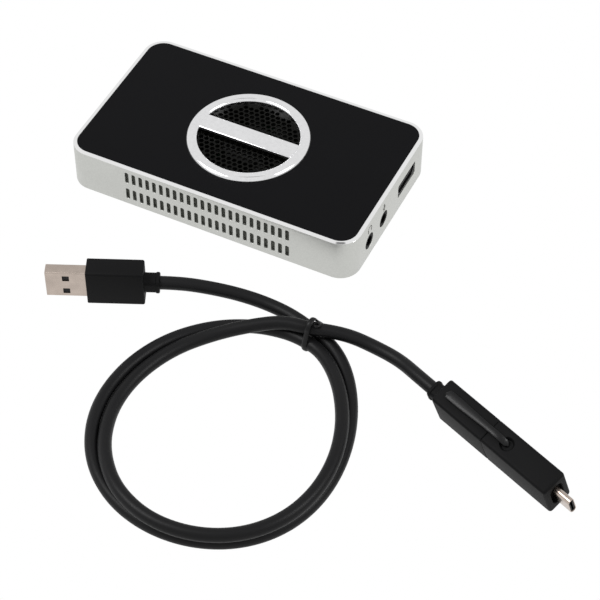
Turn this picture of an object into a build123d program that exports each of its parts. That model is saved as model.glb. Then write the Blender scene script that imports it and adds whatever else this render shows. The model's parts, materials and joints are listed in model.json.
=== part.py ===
from build123d import *
from math import atan2, cos, degrees, dist, pi, radians, sin, sqrt, tan
import os

# A video capture box with a round grille over its fan, and the tied USB lead that lies in front of it.
# Millimetres. The origin is the middle of the box's underside. +X points to the end with the two
# audio jacks, -Y to the slotted side that the photograph shows, and +Z up.

overrun = 1.0                # how far every cut runs past the face it opens

# The box
box_length = 117.0
box_width = 69.0
box_height = 18.5
corner_radius = 8.0
wall = 2.4
rim = 1.5                    # bright edge of the frame left round each plate
plate_thickness = 1.5
plate_gap = 0.1
edge_round = 0.3

# Cooling slots of the long sides
slot_count = 24
slot_rows = 2
slot_pitch = 2.86
slot_row_pitch = 8.1
slot_width = 1.5
slot_height = 5.1
slot_mid = 9.55              # height of the middle between the two rows

# Corner posts of the frame and the screws of the bottom cover
post_inset = 5.6
post_radius = 3.0
thread_gap = 0.05
cover_screw_radius = 1.25
cover_screw_head = 2.3
cover_screw_head_height = 1.2
cover_screw_length = 7.0
drive_radius = 0.8           # cross recess, drawn as a round socket
drive_depth = 0.6

# Circuit board
board_bottom = 5.4
board_thickness = 1.6
board_gap = 0.5
board_corner = 5.0
standoff_radius = 2.75
standoff_inset_x = 16.1     # from the frame's inner wall
standoff_inset_y = 6.1
board_screw_radius = 1.0
board_screw_head = 1.9
board_screw_head_height = 1.3
board_screw_length = 5.0

# Video sockets, one at each end
video_y_share = 0.203        # place across the box, as a share of its width
video_width = 14.8
video_height = 5.5
video_depth = 11.5
video_shell = 0.4
video_bevel = 1.6
video_tongue_width = 11.2
video_tongue_height = 1.0
video_tongue_back = 3.0
port_gap = 0.3               # between a socket and its opening in the frame
port_round = 0.8
port_setback = 0.4           # how far a socket's mouth stands behind the frame's face

# Audio jacks, 3.5 mm, half sunk into notches of the board
jack_bore_radius = 1.8
jack_barrel_radius = 3.0
jack_body_width = 6.2
jack_body_height = 5.1
jack_body_length = 11.0
jack_bore_depth = 12.0
microphone_y_share = -0.2725
headphone_y_share = -0.0928
jack_notch_gap = 0.2

# USB socket of the far end
usb_y_share = -0.174
usb_socket_width = 13.1
usb_socket_height = 5.7
usb_socket_depth = 14.0
usb_wall = 0.3
usb_tongue_height = 1.4
usb_tongue_width = 10.6

# Chips and cooling
chip_margin = 1.05           # how far the heat sink passes the chip
chip_height = 1.2
pad_height = 0.5
sink_gap = 3.5               # to the fan and to the sockets
sink_width = 28.0
sink_base = 1.5
sink_fins = 7
sink_fin = 1.0
sink_height = 6.5
memory_gap = 3.5
memory_width = 7.5
memory_height = 1.0
memory_pitch_share = 0.45    # of the room between the fan and the sockets
memory_pitch_y = 10.5
controller_margin = 1.3
controller_height = 0.9
inductor_gap = 1.6
inductor_height = 3.0
inductor_count = 3
coil_row_share = 0.25        # pitch of the inductors and capacitors, of the room beside the fan
capacitor_radius_share = 0.4 # of their pitch
capacitor_height = 5.5
capacitor_vent = 0.3
capacitor_count = 3
chip_cap_length = 1.6
chip_cap_width = 0.8
chip_cap_height = 0.8
chip_cap_count = 6
chip_cap_pitch = 2.6
chip_cap_inset = 2.5         # inside the fan's edge

# Grille and emblem ring
vent_radius = 20.0
ring_radius = 23.3
ring_bore = 19.0
ring_spigot_gap = 0.2
ring_crest = 1.4
ring_crest_radius = 20.6
ring_inner_height = 0.6
ring_edge_height = 0.15
bar_width = 7.4
bar_height = 1.1
bar_thickness = 1.5
bar_edge = 0.3
mesh_radius = 20.7
mesh_thickness = 0.7
mesh_pitch = 2.25
mesh_web = 0.55
mesh_border = 1.4

# Fan
fan_side = 40.0
fan_height = 7.0
fan_gap = 0.5                # below the grille
fan_corner = 2.5
fan_bore = 19.0
fan_screw_pitch = 33.6
fan_screw_radius = 1.0
fan_screw_head = 1.9
fan_screw_head_height = 1.2
fan_screw_bite = 2.2
fan_boss_radius = 2.6
fan_base = 1.0
fan_strut = 2.2
hub_radius = 10.0
hub_wall = 0.75
hub_top = 1.0
running_gap = 0.4
blade_count = 7
blade_tip = 18.3
blade_thickness = 0.9
blade_root_chord = 6.2
blade_tip_chord = 8.4
blade_root_pitch = 40.0      # degrees
blade_tip_pitch = 25.0
blade_sweep = 3.0
shaft_radius = 1.0
shaft_clearance = 0.05
bearing_wall = 0.5
tube_wall = 1.0
magnet_thickness = 1.0
magnet_gap = 0.05
stator_gap = 0.7
stator_height = 2.4
stator_poles = 4
pole_slot = 1.7
winding_height = 0.8
winding_margin = 1.0

# USB-A plug of the lead, as it stands on its narrow side
plug_width = 12.0
plug_height = 4.5
plug_shell_out = 14.6
plug_shell_in = 4.0
plug_latch = 2.1
plug_latch_pitch = 6.3
plug_latch_from_tip = 6.7
plug_tongue_height = 1.8
plug_tongue_gap = 0.05
plug_tongue_setback = 0.6
contact_count = 4
contact_pitch = 2.5
contact_width = 1.2
contact_height = 0.15
contact_length = 8.5
grip_width = 15.8
grip_thickness = 8.2
grip_length = 20.5
grip_corner = 1.0
grip_end_round = 0.7
relief_side = 6.6
relief_corner = 2.0
relief_length = 5.4

# Plug and adapter of the lead's other end
far_width = 16.2
far_thickness = 9.8
far_length = 23.3
far_corner = 1.2
far_roll = 19.0              # degrees that it leans towards the viewer
adapter_length = 29.2
adapter_pocket_gap = 0.05
adapter_end_round = 1.4
usb_c_width = 8.3
usb_c_height = 2.5
usb_c_wall = 0.3
usb_c_out = 6.6
usb_c_in = 4.0
usb_c_recess_width = 11.0
usb_c_recess_height = 5.2
usb_c_recess = 2.0
usb_c_slot_height = 0.9
usb_c_slot_width = 6.8
strap_width = 3.3
strap_height = 1.4
strap_from_cord = 2.9
strap_past_seam = 9.4
strap_gap = 0.3
strap_pocket_gap = 0.25
strap_sunk = 1.1

# The lead's place in front of the box, and its cord
usb_plug_cord_face = (-4.7, -72.3)
usb_plug_heading = 204.1     # degrees from +X
far_plug_cord_face = (112.3, -74.7)
far_plug_heading = -22.5
cord_diameter = 4.9
cord_radius = cord_diameter / 2
floor_gap = 0.1
lay_pitch = 5.9              # middle to middle of two strands that lie together
loop_x = 49.6
loop_y = -110.85
loop_half_width = 41.8
loop_half_length = 49.1
loop_taper_share = 0.177
loop_tilt = 7.45             # degrees, clockwise seen from above
loop_turns = 1.75
loop_nodes_per_turn = 4
lay_start = 18.0             # degrees that the second turn has rolled up over the first at the tie
lay_peak = 96.0              # and at its highest
lay_end_share = 0.8
lay_in_tie = 138.0           # where the cord's end passes through the tie, over both
draw_in_share = 0.3          # last part of the first turn, which draws in by one pitch
tie_rise_power = 6
tie_width = 2.2
tie_thickness = 0.8
tie_gap = 0.5
eyelet_radius = 1.5
eyelet_wire = 0.55
floor_z = cord_radius + floor_gap
tie_z = cord_radius + tie_gap + tie_thickness + floor_gap

cord_start_length = 7.0
start_middle = [(15.5, -63.6, 6.4), (25.5, -60.2, 4.1), (36.0, -58.9, 3.0)]
end_lays = [(1.85, 6.0), (1.895, 55.0), (1.945, 108.0)]      # turn, and degrees rolled over the first turn
end_middle = [(69.0, -62.0, 8.6), (81.0, -61.8, 5.6), (92.0, -65.2, 7.0)]

# Heights that several pieces share
board_top = board_bottom + board_thickness
plate_under = box_height - plate_thickness
cavity_length = box_length - 2 * wall
cavity_width = box_width - 2 * wall
post_x = box_length / 2 - post_inset
post_y = box_width / 2 - post_inset
standoff_pitch_x = cavity_length - 2 * standoff_inset_x
standoff_pitch_y = cavity_width - 2 * standoff_inset_y
video_y = box_width * video_y_share
microphone_y = box_width * microphone_y_share
headphone_y = box_width * headphone_y_share
usb_y = box_width * usb_y_share
left_room = box_length / 2 - port_setback - usb_socket_depth - fan_side / 2
right_room = box_length / 2 - port_setback - video_depth - fan_side / 2
side_strip = cavity_width / 2 - board_gap - fan_side / 2
strip_y = fan_side / 2 + side_strip / 2
sink_length = left_room - 2 * sink_gap
chip_side = sink_length - 2 * chip_margin
chip_x = -(fan_side / 2 + left_room / 2)
memory_pitch_x = right_room * memory_pitch_share
memory_length = memory_pitch_x - memory_gap
memory_x = fan_side / 2 + memory_pitch_x
controller_side = side_strip - 2 * controller_margin
inductor_pitch = right_room * coil_row_share
inductor_side = inductor_pitch - inductor_gap
inductor_x = standoff_pitch_x / 2 - 2 * inductor_pitch
capacitor_pitch = left_room * coil_row_share
capacitor_radius = capacitor_pitch * capacitor_radius_share
capacitor_x = 2 * capacitor_pitch - standoff_pitch_x / 2
chip_cap_y = fan_side / 2 - chip_cap_inset
posts = [(sx * post_x, sy * post_y) for sx in (-1, 1) for sy in (-1, 1)]
video_z = board_top + video_height / 2
jack_z = board_bottom + jack_body_height / 2
usb_z = board_top + usb_socket_height / 2
jacks = [("microphone_jack", microphone_y), ("headphone_jack", headphone_y)]
mesh_bottom = plate_under - mesh_thickness
fan_top = mesh_bottom - fan_gap
fan_bottom = fan_top - fan_height
pad_bottom = board_top + chip_height
sink_bottom = pad_bottom + pad_height


def block(plane, length, width, height, corner=0.0, mode=Mode.ADD):
    """Extrude a rectangle, with rounded corners where corner is given, from a plane."""
    with BuildSketch(plane) as outline:
        if corner:
            RectangleRounded(length, width, corner)
        else:
            Rectangle(length, width)
    extrude(outline.sketch, amount=height, mode=mode)


def rod(plane, radius, height, mode=Mode.ADD):
    """Extrude a circle from a plane."""
    with BuildSketch(plane) as outline:
        Circle(radius)
    extrude(outline.sketch, amount=height, mode=mode)


def screw_profile(radius, length, head_radius, head_height, countersunk):
    """Draw half of a screw, head below, point up, for revolving about Z."""
    rim_corner = [] if countersunk else [(head_radius, head_height)]
    top = head_height + length
    Polygon((0, 0), (head_radius, 0), *rim_corner, (radius, head_height), (radius, top), (0, top), align=None)


made = []


def keep(builder, label):
    """Name a finished piece and note it for writing."""
    builder.part.label = label
    made.append(builder.part)


# Frame of the box: one band with ledges for both plates, posts for the screws, slots and port openings
with BuildPart() as frame:
    block(Plane.XY, box_length, box_width, box_height, corner_radius)
    fillet(frame.faces().sort_by(Axis.Z)[-1].edges(), edge_round)
    fillet(frame.faces().sort_by(Axis.Z)[0].edges(), edge_round)
    block(Plane.XY.offset(-overrun), cavity_length, cavity_width, box_height + 2 * overrun,
          corner_radius - wall, Mode.SUBTRACT)
    for seat in (-overrun, box_height - plate_thickness):
        block(Plane.XY.offset(seat), box_length - 2 * rim, box_width - 2 * rim,
              plate_thickness + overrun, corner_radius - rim, Mode.SUBTRACT)
    with BuildSketch(Plane.XY.offset(plate_thickness)):
        with Locations(*posts):
            Circle(post_radius)
    extrude(amount=plate_under - plate_thickness)
    with BuildSketch(Plane.XY.offset(plate_thickness - overrun)):
        with Locations(*posts):
            Circle(cover_screw_radius + thread_gap)
    extrude(amount=cover_screw_length + 2 * overrun, mode=Mode.SUBTRACT)
    with BuildSketch(Plane.XZ):
        with Locations((0, slot_mid)):
            with GridLocations(slot_pitch, slot_row_pitch, slot_count, slot_rows):
                Rectangle(slot_width, slot_height)
    extrude(amount=box_width / 2 + overrun, both=True, mode=Mode.SUBTRACT)
    for end in (-1, 1):
        with BuildSketch(Plane.YZ.offset(end * (box_length / 2 - wall / 2))):
            with Locations((video_y, video_z)):
                RectangleRounded(video_width + 2 * port_gap, video_height + 2 * port_gap, port_round)
            if end > 0:
                with Locations(*[(y, jack_z) for label, y in jacks]):
                    Circle(jack_barrel_radius + port_gap)
            else:
                with Locations((usb_y, usb_z)):
                    RectangleRounded(usb_socket_width + 2 * port_gap, usb_socket_height + 2 * port_gap, port_round)
        extrude(amount=wall / 2 + overrun, both=True, mode=Mode.SUBTRACT)
keep(frame, "frame")

# Top plate, inlaid in the frame, with the round vent and the four bosses that carry the fan
plate_length = box_length - 2 * (rim + plate_gap)
plate_width = box_width - 2 * (rim + plate_gap)
plate_corner = corner_radius - rim - plate_gap
with BuildPart() as top_plate:
    block(Plane.XY.offset(plate_under), plate_length, plate_width, plate_thickness, plate_corner)
    rod(Plane.XY.offset(plate_under - overrun), vent_radius, plate_thickness + 2 * overrun, Mode.SUBTRACT)
    with BuildSketch(Plane.XY.offset(fan_top)):
        with GridLocations(fan_screw_pitch, fan_screw_pitch, 2, 2):
            Circle(fan_boss_radius)
    extrude(amount=plate_under - fan_top)
    with BuildSketch(Plane.XY.offset(fan_top)):
        with GridLocations(fan_screw_pitch, fan_screw_pitch, 2, 2):
            Circle(fan_screw_radius + thread_gap)
    extrude(amount=fan_screw_bite, mode=Mode.SUBTRACT)
keep(top_plate, "top_plate")

# Bottom cover, with countersunk holes under the posts and four standoffs for the board
with BuildPart() as bottom_cover:
    block(Plane.XY, plate_length, plate_width, plate_thickness, plate_corner)
    with BuildSketch(Plane.XY.offset(plate_thickness)):
        with GridLocations(standoff_pitch_x, standoff_pitch_y, 2, 2):
            Circle(standoff_radius)
    extrude(amount=board_bottom - plate_thickness)
    with BuildSketch(Plane.XY.offset(plate_thickness)):
        with GridLocations(standoff_pitch_x, standoff_pitch_y, 2, 2):
            Circle(board_screw_radius + thread_gap)
    extrude(amount=board_bottom, mode=Mode.SUBTRACT)
    with Locations(Plane((0, 0, 0), z_dir=(0, 0, -1))):
        with Locations(*posts):
            CounterSinkHole(cover_screw_radius + thread_gap, cover_screw_head + thread_gap,
                            plate_thickness, 2 * degrees(atan2(cover_screw_head - cover_screw_radius,
                                                               cover_screw_head_height)))
keep(bottom_cover, "bottom_cover")

with BuildPart() as cover_screw:
    with BuildSketch(Plane.XZ):
        screw_profile(cover_screw_radius, cover_screw_length, cover_screw_head, cover_screw_head_height, True)
    revolve(axis=Axis.Z)
    block(Plane.XY, drive_radius, 2 * drive_radius, drive_depth, mode=Mode.SUBTRACT)
with BuildPart() as cover_screws:
    with Locations(*posts):
        add(cover_screw.part)
keep(cover_screws, "cover_screws")

# Emblem ring: a domed ring with a spigot that drops into the vent, and a plain bar across it
spigot_radius = vent_radius - ring_spigot_gap
with BuildPart() as emblem_ring:
    with BuildSketch(Plane.XZ):
        with BuildLine():
            Polyline((ring_bore, box_height + ring_inner_height), (ring_bore, plate_under),
                     (spigot_radius, plate_under), (spigot_radius, box_height), (ring_radius, box_height),
                     (ring_radius, box_height + ring_edge_height))
            dome_mid = (ring_crest_radius + ring_radius) / 2
            ThreePointArc((ring_radius, box_height + ring_edge_height),
                          (dome_mid + ring_crest / 4, box_height + 3 * ring_crest / 4),
                          (ring_crest_radius, box_height + ring_crest))
            Line((ring_crest_radius, box_height + ring_crest), (ring_bore, box_height + ring_inner_height))
        make_face()
    revolve(axis=Axis.Z)
    with BuildSketch(Plane.XY.offset(box_height + bar_height - bar_thickness)) as bar_outline:
        Rectangle(2 * ring_radius, bar_width)
        Circle((ring_bore + spigot_radius) / 2, mode=Mode.INTERSECT)
    extrude(amount=bar_thickness)
    bar_top = emblem_ring.faces().filter_by(Plane.XY).group_by(Axis.Z)[-1]
    long_edges = bar_top.edges().filter_by(Axis.X).filter_by(GeomType.LINE)
    chamfer(long_edges, bar_edge)
keep(emblem_ring, "emblem_ring")


def mesh_centres():
    """Middles of the hexagonal holes: rows along X, every second row half a pitch along."""
    row_pitch = mesh_pitch * sqrt(3) / 2
    limit = mesh_radius - mesh_border - mesh_pitch / 2
    rows = int(limit / row_pitch)
    columns = int(limit / mesh_pitch) + 1
    centres = []
    for row in range(-rows, rows + 1):
        for column in range(-columns, columns + 1):
            x = (column + (row % 2) / 2) * mesh_pitch
            y = row * row_pitch
            if dist((x, y), (0, 0)) <= limit:
                centres.append((x, y))
    return centres


holes = mesh_centres()
with BuildPart() as grille_mesh:
    with BuildSketch(Plane.XY.offset(mesh_bottom)):
        Circle(mesh_radius)
        with Locations(*holes):
            RegularPolygon((mesh_pitch - mesh_web) / 2, 6, major_radius=False, rotation=30, mode=Mode.SUBTRACT)
    extrude(amount=mesh_thickness)
keep(grille_mesh, "grille_mesh")

# Fan housing: a square frame round the bore, struts and a base for the hub, and the bearing tube
bearing_outer = shaft_radius + shaft_clearance + bearing_wall
tube_bore = bearing_outer + magnet_gap
tube_outer = tube_bore + tube_wall
hub_bottom = fan_bottom + fan_base + running_gap
hub_ceiling = fan_top - running_gap - hub_top
tube_top = hub_ceiling - 2 * running_gap
with BuildPart() as fan_housing:
    block(Plane.XY.offset(fan_bottom), fan_side, fan_side, fan_height, fan_corner)
    rod(Plane.XY.offset(fan_bottom - overrun), fan_bore, fan_height + 2 * overrun, Mode.SUBTRACT)
    with BuildSketch(Plane.XY.offset(fan_bottom)):
        Circle(hub_radius)
        Rectangle(2 * fan_bore + fan_strut, fan_strut, rotation=45)
        Rectangle(2 * fan_bore + fan_strut, fan_strut, rotation=-45)
        Circle(fan_bore + fan_strut / 4, mode=Mode.INTERSECT)
    extrude(amount=fan_base)
    rod(Plane.XY.offset(fan_bottom), tube_outer, tube_top - fan_bottom)
    rod(Plane.XY.offset(fan_bottom + fan_base), tube_bore, fan_height, Mode.SUBTRACT)
    with BuildSketch(Plane.XY.offset(fan_bottom - overrun)):
        with GridLocations(fan_screw_pitch, fan_screw_pitch, 2, 2):
            Circle(fan_screw_radius + thread_gap)
    extrude(amount=fan_height + 2 * overrun, mode=Mode.SUBTRACT)
keep(fan_housing, "fan_housing")

with BuildPart() as fan_bearing:
    rod(Plane.XY.offset(fan_bottom + fan_base), bearing_outer, tube_top - fan_bottom - fan_base)
    rod(Plane.XY.offset(fan_bottom), shaft_radius + shaft_clearance, fan_height, Mode.SUBTRACT)
keep(fan_bearing, "fan_bearing")

stator_radius = hub_radius - hub_wall - magnet_gap - magnet_thickness - stator_gap
stator_bottom = hub_bottom + running_gap
with BuildPart() as fan_stator:
    rod(Plane.XY.offset(stator_bottom), stator_radius, stator_height)
    rod(Plane.XY.offset(fan_bottom), tube_outer + magnet_gap, fan_height, Mode.SUBTRACT)
    with BuildSketch(Plane.XY.offset(fan_bottom)):
        with PolarLocations((stator_radius + tube_outer) / 2, stator_poles):
            Circle(pole_slot)
    extrude(amount=fan_height, mode=Mode.SUBTRACT)
keep(fan_stator, "fan_stator")

with BuildPart() as fan_winding:
    rod(Plane.XY.offset(stator_bottom + stator_height), stator_radius - winding_margin, winding_height)
    rod(Plane.XY.offset(fan_bottom), tube_outer + magnet_gap, fan_height, Mode.SUBTRACT)
keep(fan_winding, "fan_winding")

blade_mid = (hub_bottom + fan_top - running_gap) / 2
with BuildPart() as blade:
    root = hub_radius - hub_wall / 2
    with BuildSketch(Plane((root, 0, blade_mid), x_dir=(0, 1, 0), z_dir=(1, 0, 0))):
        Rectangle(blade_root_chord, blade_thickness, rotation=blade_root_pitch)
    with BuildSketch(Plane((blade_tip, blade_sweep, blade_mid), x_dir=(0, 1, 0), z_dir=(1, 0, 0))):
        Rectangle(blade_tip_chord, blade_thickness, rotation=blade_tip_pitch)
    loft()
    with BuildSketch(Plane.XY.offset(fan_bottom)):
        Circle(blade_tip)
    extrude(amount=fan_height, mode=Mode.INTERSECT)

boss_radius = shaft_radius + shaft_clearance + tube_wall
with BuildPart() as fan_rotor:
    rod(Plane.XY.offset(hub_bottom), hub_radius, fan_top - running_gap - hub_bottom)
    fillet(fan_rotor.faces().sort_by(Axis.Z)[-1].edges(), hub_wall / 2)
    rod(Plane.XY.offset(hub_bottom - overrun), hub_radius - hub_wall, hub_ceiling - hub_bottom + overrun,
        Mode.SUBTRACT)
    rod(Plane.XY.offset(hub_ceiling - running_gap), boss_radius, running_gap)
    with PolarLocations(0, blade_count):
        add(blade.part)
    rod(Plane.XY.offset(fan_bottom), shaft_radius, hub_ceiling + hub_top / 2 - fan_bottom, Mode.SUBTRACT)
keep(fan_rotor, "fan_rotor")

with BuildPart() as fan_shaft:
    rod(Plane.XY.offset(hub_bottom), shaft_radius, hub_ceiling + hub_top / 2 - hub_bottom)
keep(fan_shaft, "fan_shaft")

with BuildPart() as fan_magnet:
    rod(Plane.XY.offset(hub_bottom), hub_radius - hub_wall - magnet_gap, hub_ceiling - hub_bottom - running_gap)
    rod(Plane.XY.offset(fan_bottom), hub_radius - hub_wall - magnet_gap - magnet_thickness, fan_height,
        Mode.SUBTRACT)
keep(fan_magnet, "fan_magnet")

with BuildPart() as fan_screw:
    with BuildSketch(Plane.XZ):
        screw_profile(fan_screw_radius, fan_height + fan_screw_bite - thread_gap, fan_screw_head,
                      fan_screw_head_height, False)
    revolve(axis=Axis.Z)
    block(Plane.XY, drive_radius, 2 * drive_radius, drive_depth, mode=Mode.SUBTRACT)
with BuildPart() as fan_screws:
    with Locations((0, 0, fan_bottom - fan_screw_head_height)):
        with GridLocations(fan_screw_pitch, fan_screw_pitch, 2, 2):
            add(fan_screw.part)
keep(fan_screws, "fan_screws")

# Circuit board on the cover's standoffs, notched for the posts and the jacks
board_length = cavity_length - 2 * board_gap
board_width = cavity_width - 2 * board_gap
with BuildPart() as circuit_board:
    block(Plane.XY.offset(board_bottom), board_length, board_width, board_thickness, board_corner)
    with BuildSketch(Plane.XY.offset(board_bottom - overrun)):
        with Locations(*posts):
            Circle(post_radius + board_gap)
        with Locations(*[(board_length / 2 + overrun, y) for label, y in jacks]):
            Rectangle(2 * (jack_body_length + overrun), jack_body_width + 2 * jack_notch_gap)
        with GridLocations(standoff_pitch_x, standoff_pitch_y, 2, 2):
            Circle(board_screw_radius + thread_gap)
    extrude(amount=board_thickness + 2 * overrun, mode=Mode.SUBTRACT)
keep(circuit_board, "circuit_board")

with BuildPart() as board_screw:
    with BuildSketch(Plane.XZ):
        screw_profile(board_screw_radius, board_screw_length, board_screw_head, board_screw_head_height, False)
    revolve(axis=Axis.Z)
    block(Plane.XY, drive_radius, 2 * drive_radius, drive_depth, mode=Mode.SUBTRACT)
with BuildPart() as board_screws:
    head_up = Plane((0, 0, board_top + board_screw_head_height), z_dir=(0, 0, -1))
    with Locations(head_up):
        with GridLocations(standoff_pitch_x, standoff_pitch_y, 2, 2):
            add(board_screw.part)
keep(board_screws, "board_screws")


def mouth_plane(end, y, z):
    """Plane in the mouth of a socket, whose normal points out of the box's end, +1 or -1."""
    return Plane((end * (box_length / 2 - port_setback), y, z), x_dir=(0, 1, 0), z_dir=(end, 0, 0))


def video_outline(width, height, bevel, up):
    """Cross-section of a video socket: a rectangle whose two lower corners are cut off."""
    half, drop = width / 2, height / 2
    corners = [(-half, drop), (-half, bevel - drop), (bevel - half, -drop), (half - bevel, -drop),
               (half, bevel - drop), (half, drop)]
    turned = [(x, up * y) for x, y in corners][::up]
    Polygon(*turned, align=None)


# Video sockets: a folded shell round a tongue, one at each end of the box
for end, side in ((1, "right"), (-1, "left")):
    mouth = mouth_plane(end, video_y, video_z)
    with BuildPart() as video_shell_part:
        with BuildSketch(mouth):
            video_outline(video_width, video_height, video_bevel, end)
        extrude(amount=-video_depth)
        with BuildSketch(mouth.offset(overrun)):
            inner_height = video_height - 2 * video_shell
            video_outline(video_width - 2 * video_shell, inner_height, video_bevel, end)
        extrude(amount=-(video_depth - video_shell + overrun), mode=Mode.SUBTRACT)
    keep(video_shell_part, side + "_video_shell")
    with BuildPart() as video_tongue:
        back = mouth.offset(video_shell - video_depth)
        block(back, video_width - 2 * video_bevel - 2 * video_shell, inner_height - 2 * plate_gap,
              video_tongue_back)
        block(back, video_tongue_width, video_tongue_height, video_depth - 2 * video_shell)
    keep(video_tongue, side + "_video_tongue")

# Audio jacks: a body in the board's notch and a barrel that stands in the frame's hole
for label, y in jacks:
    mouth = mouth_plane(1, y, jack_z)
    body_face = Plane.YZ.offset(box_length / 2 - wall - port_gap)
    with BuildPart() as jack:
        rod(mouth, jack_barrel_radius, -(wall + port_gap))
        with BuildSketch(body_face):
            with Locations((y, jack_z)):
                Rectangle(jack_body_width, jack_body_height)
        extrude(amount=-jack_body_length)
        rod(mouth.offset(overrun), jack_bore_radius, -(jack_bore_depth + overrun), Mode.SUBTRACT)
        nose = jack.edges().filter_by(GeomType.CIRCLE).group_by(Axis.X)[-1].sort_by(SortBy.RADIUS)[-1]
        chamfer(nose, edge_round)
    keep(jack, label)

# USB socket of the left end: shell and tongue
usb_mouth = mouth_plane(-1, usb_y, usb_z)


def usb_socket(shell_label, tongue_label, mouth, shift):
    """Make a USB-A socket behind a mouth plane; the tongue is moved off the middle by shift."""
    with BuildPart() as shell:
        block(mouth, usb_socket_width, usb_socket_height, -usb_socket_depth, usb_wall)
        block(mouth.offset(overrun), usb_socket_width - 2 * usb_wall, usb_socket_height - 2 * usb_wall,
              -(usb_socket_depth - usb_wall + overrun), mode=Mode.SUBTRACT)
    keep(shell, shell_label)
    back = mouth.offset(usb_wall - usb_socket_depth)
    side = Plane(back.origin + back.y_dir * shift, x_dir=back.x_dir, z_dir=back.z_dir)
    with BuildPart() as tongue:
        block(side, usb_tongue_width, usb_tongue_height, usb_socket_depth - 2 * usb_wall)
    keep(tongue, tongue_label)


tongue_shift = (plug_tongue_height + usb_wall) / 2
usb_socket("usb_socket_shell", "usb_socket_tongue", usb_mouth, tongue_shift)

# Parts on the board
with BuildPart() as main_chip:
    with BuildSketch(Plane.XY.offset(board_top)):
        with Locations((chip_x, 0)):
            Rectangle(chip_side, chip_side)
    extrude(amount=chip_height)
keep(main_chip, "main_chip")

with BuildPart() as thermal_pad:
    with BuildSketch(Plane.XY.offset(pad_bottom)):
        with Locations((chip_x, 0)):
            Rectangle(chip_side, chip_side)
    extrude(amount=pad_height)
keep(thermal_pad, "thermal_pad")

fin_pitch = (sink_width - sink_fin) / (sink_fins - 1)
with BuildPart() as heat_sink:
    with BuildSketch(Plane.XY.offset(sink_bottom)):
        with Locations((chip_x, 0)):
            Rectangle(sink_length, sink_width)
    extrude(amount=sink_base)
    with BuildSketch(Plane.XY.offset(sink_bottom + sink_base)):
        with Locations((chip_x, 0)):
            with GridLocations(sink_length, fin_pitch, 1, sink_fins):
                Rectangle(sink_length, sink_fin)
    extrude(amount=sink_height - sink_base)
keep(heat_sink, "heat_sink")

with BuildPart() as memory_chips:
    with BuildSketch(Plane.XY.offset(board_top)):
        with Locations((memory_x, 0)):
            with GridLocations(memory_pitch_x, memory_pitch_y, 2, 2):
                Rectangle(memory_length, memory_width)
    extrude(amount=memory_height)
keep(memory_chips, "memory_chips")

with BuildPart() as controller_chips:
    with BuildSketch(Plane.XY.offset(board_top)):
        with Locations((chip_x, strip_y), (memory_x, strip_y)):
            Rectangle(controller_side, controller_side)
    extrude(amount=controller_height)
keep(controller_chips, "controller_chips")

with BuildPart() as inductors:
    with BuildSketch(Plane.XY.offset(board_top)):
        with Locations((inductor_x, -strip_y)):
            with GridLocations(inductor_pitch, inductor_pitch, inductor_count, 1):
                RectangleRounded(inductor_side, inductor_side, inductor_side / 8)
    extrude(amount=inductor_height)
keep(inductors, "inductors")

with BuildPart() as capacitors:
    with BuildSketch(Plane.XY.offset(board_top)):
        with Locations((capacitor_x, -strip_y)):
            with GridLocations(capacitor_pitch, capacitor_pitch, capacitor_count, 1):
                Circle(capacitor_radius)
    extrude(amount=capacitor_height)
    chamfer(capacitors.faces().sort_by(Axis.Z)[-capacitor_count:].edges(), capacitor_vent)
keep(capacitors, "capacitors")

with BuildPart() as chip_capacitors:
    with BuildSketch(Plane.XY.offset(board_top)):
        with Locations((chip_x, chip_cap_y), (memory_x, chip_cap_y), (chip_x, -chip_cap_y), (memory_x, -chip_cap_y)):
            with GridLocations(chip_cap_pitch, chip_cap_pitch, chip_cap_count, 1):
                Rectangle(chip_cap_width, chip_cap_length)
    extrude(amount=chip_cap_height)
keep(chip_capacitors, "chip_capacitors")


def standing_height(thickness, width, corner, roll):
    """Height of the middle of a rounded section that stands on its narrow side, leaning by roll."""
    lean = radians(abs(roll))
    return (width / 2 - corner) * cos(lean) + (thickness / 2 - corner) * sin(lean) + corner


def plug_plane(cord_face, height, heading, roll):
    """Plane on a plug's cord side: z towards the tip, x across its thin way, y along its wide way."""
    turn = radians(heading)
    lean = radians(roll)
    tip = Vector(cos(turn), sin(turn), 0)
    across = Vector(-sin(turn), cos(turn), 0) * cos(lean) + Vector(0, 0, 1) * sin(lean)
    return Plane(Vector(cord_face[0], cord_face[1], height), x_dir=across, z_dir=tip)


def make_grip(label, plane, thickness, width, length, corner):
    """Moulded grip of a plug, with its relief stub and the pocket that holds the shell."""
    with BuildPart() as grip:
        block(plane, thickness, width, length, corner)
        fillet(grip.faces().sort_by(Axis(plane.origin, plane.z_dir))[0].edges(), grip_end_round)
        block(plane.offset(-relief_length), relief_side, relief_side, relief_length + grip_end_round, relief_corner)
        block(plane.offset(length - plug_shell_in), plug_height + 2 * adapter_pocket_gap,
              plug_width + 2 * adapter_pocket_gap, plug_shell_in + overrun, mode=Mode.SUBTRACT)
    keep(grip, label)


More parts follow.
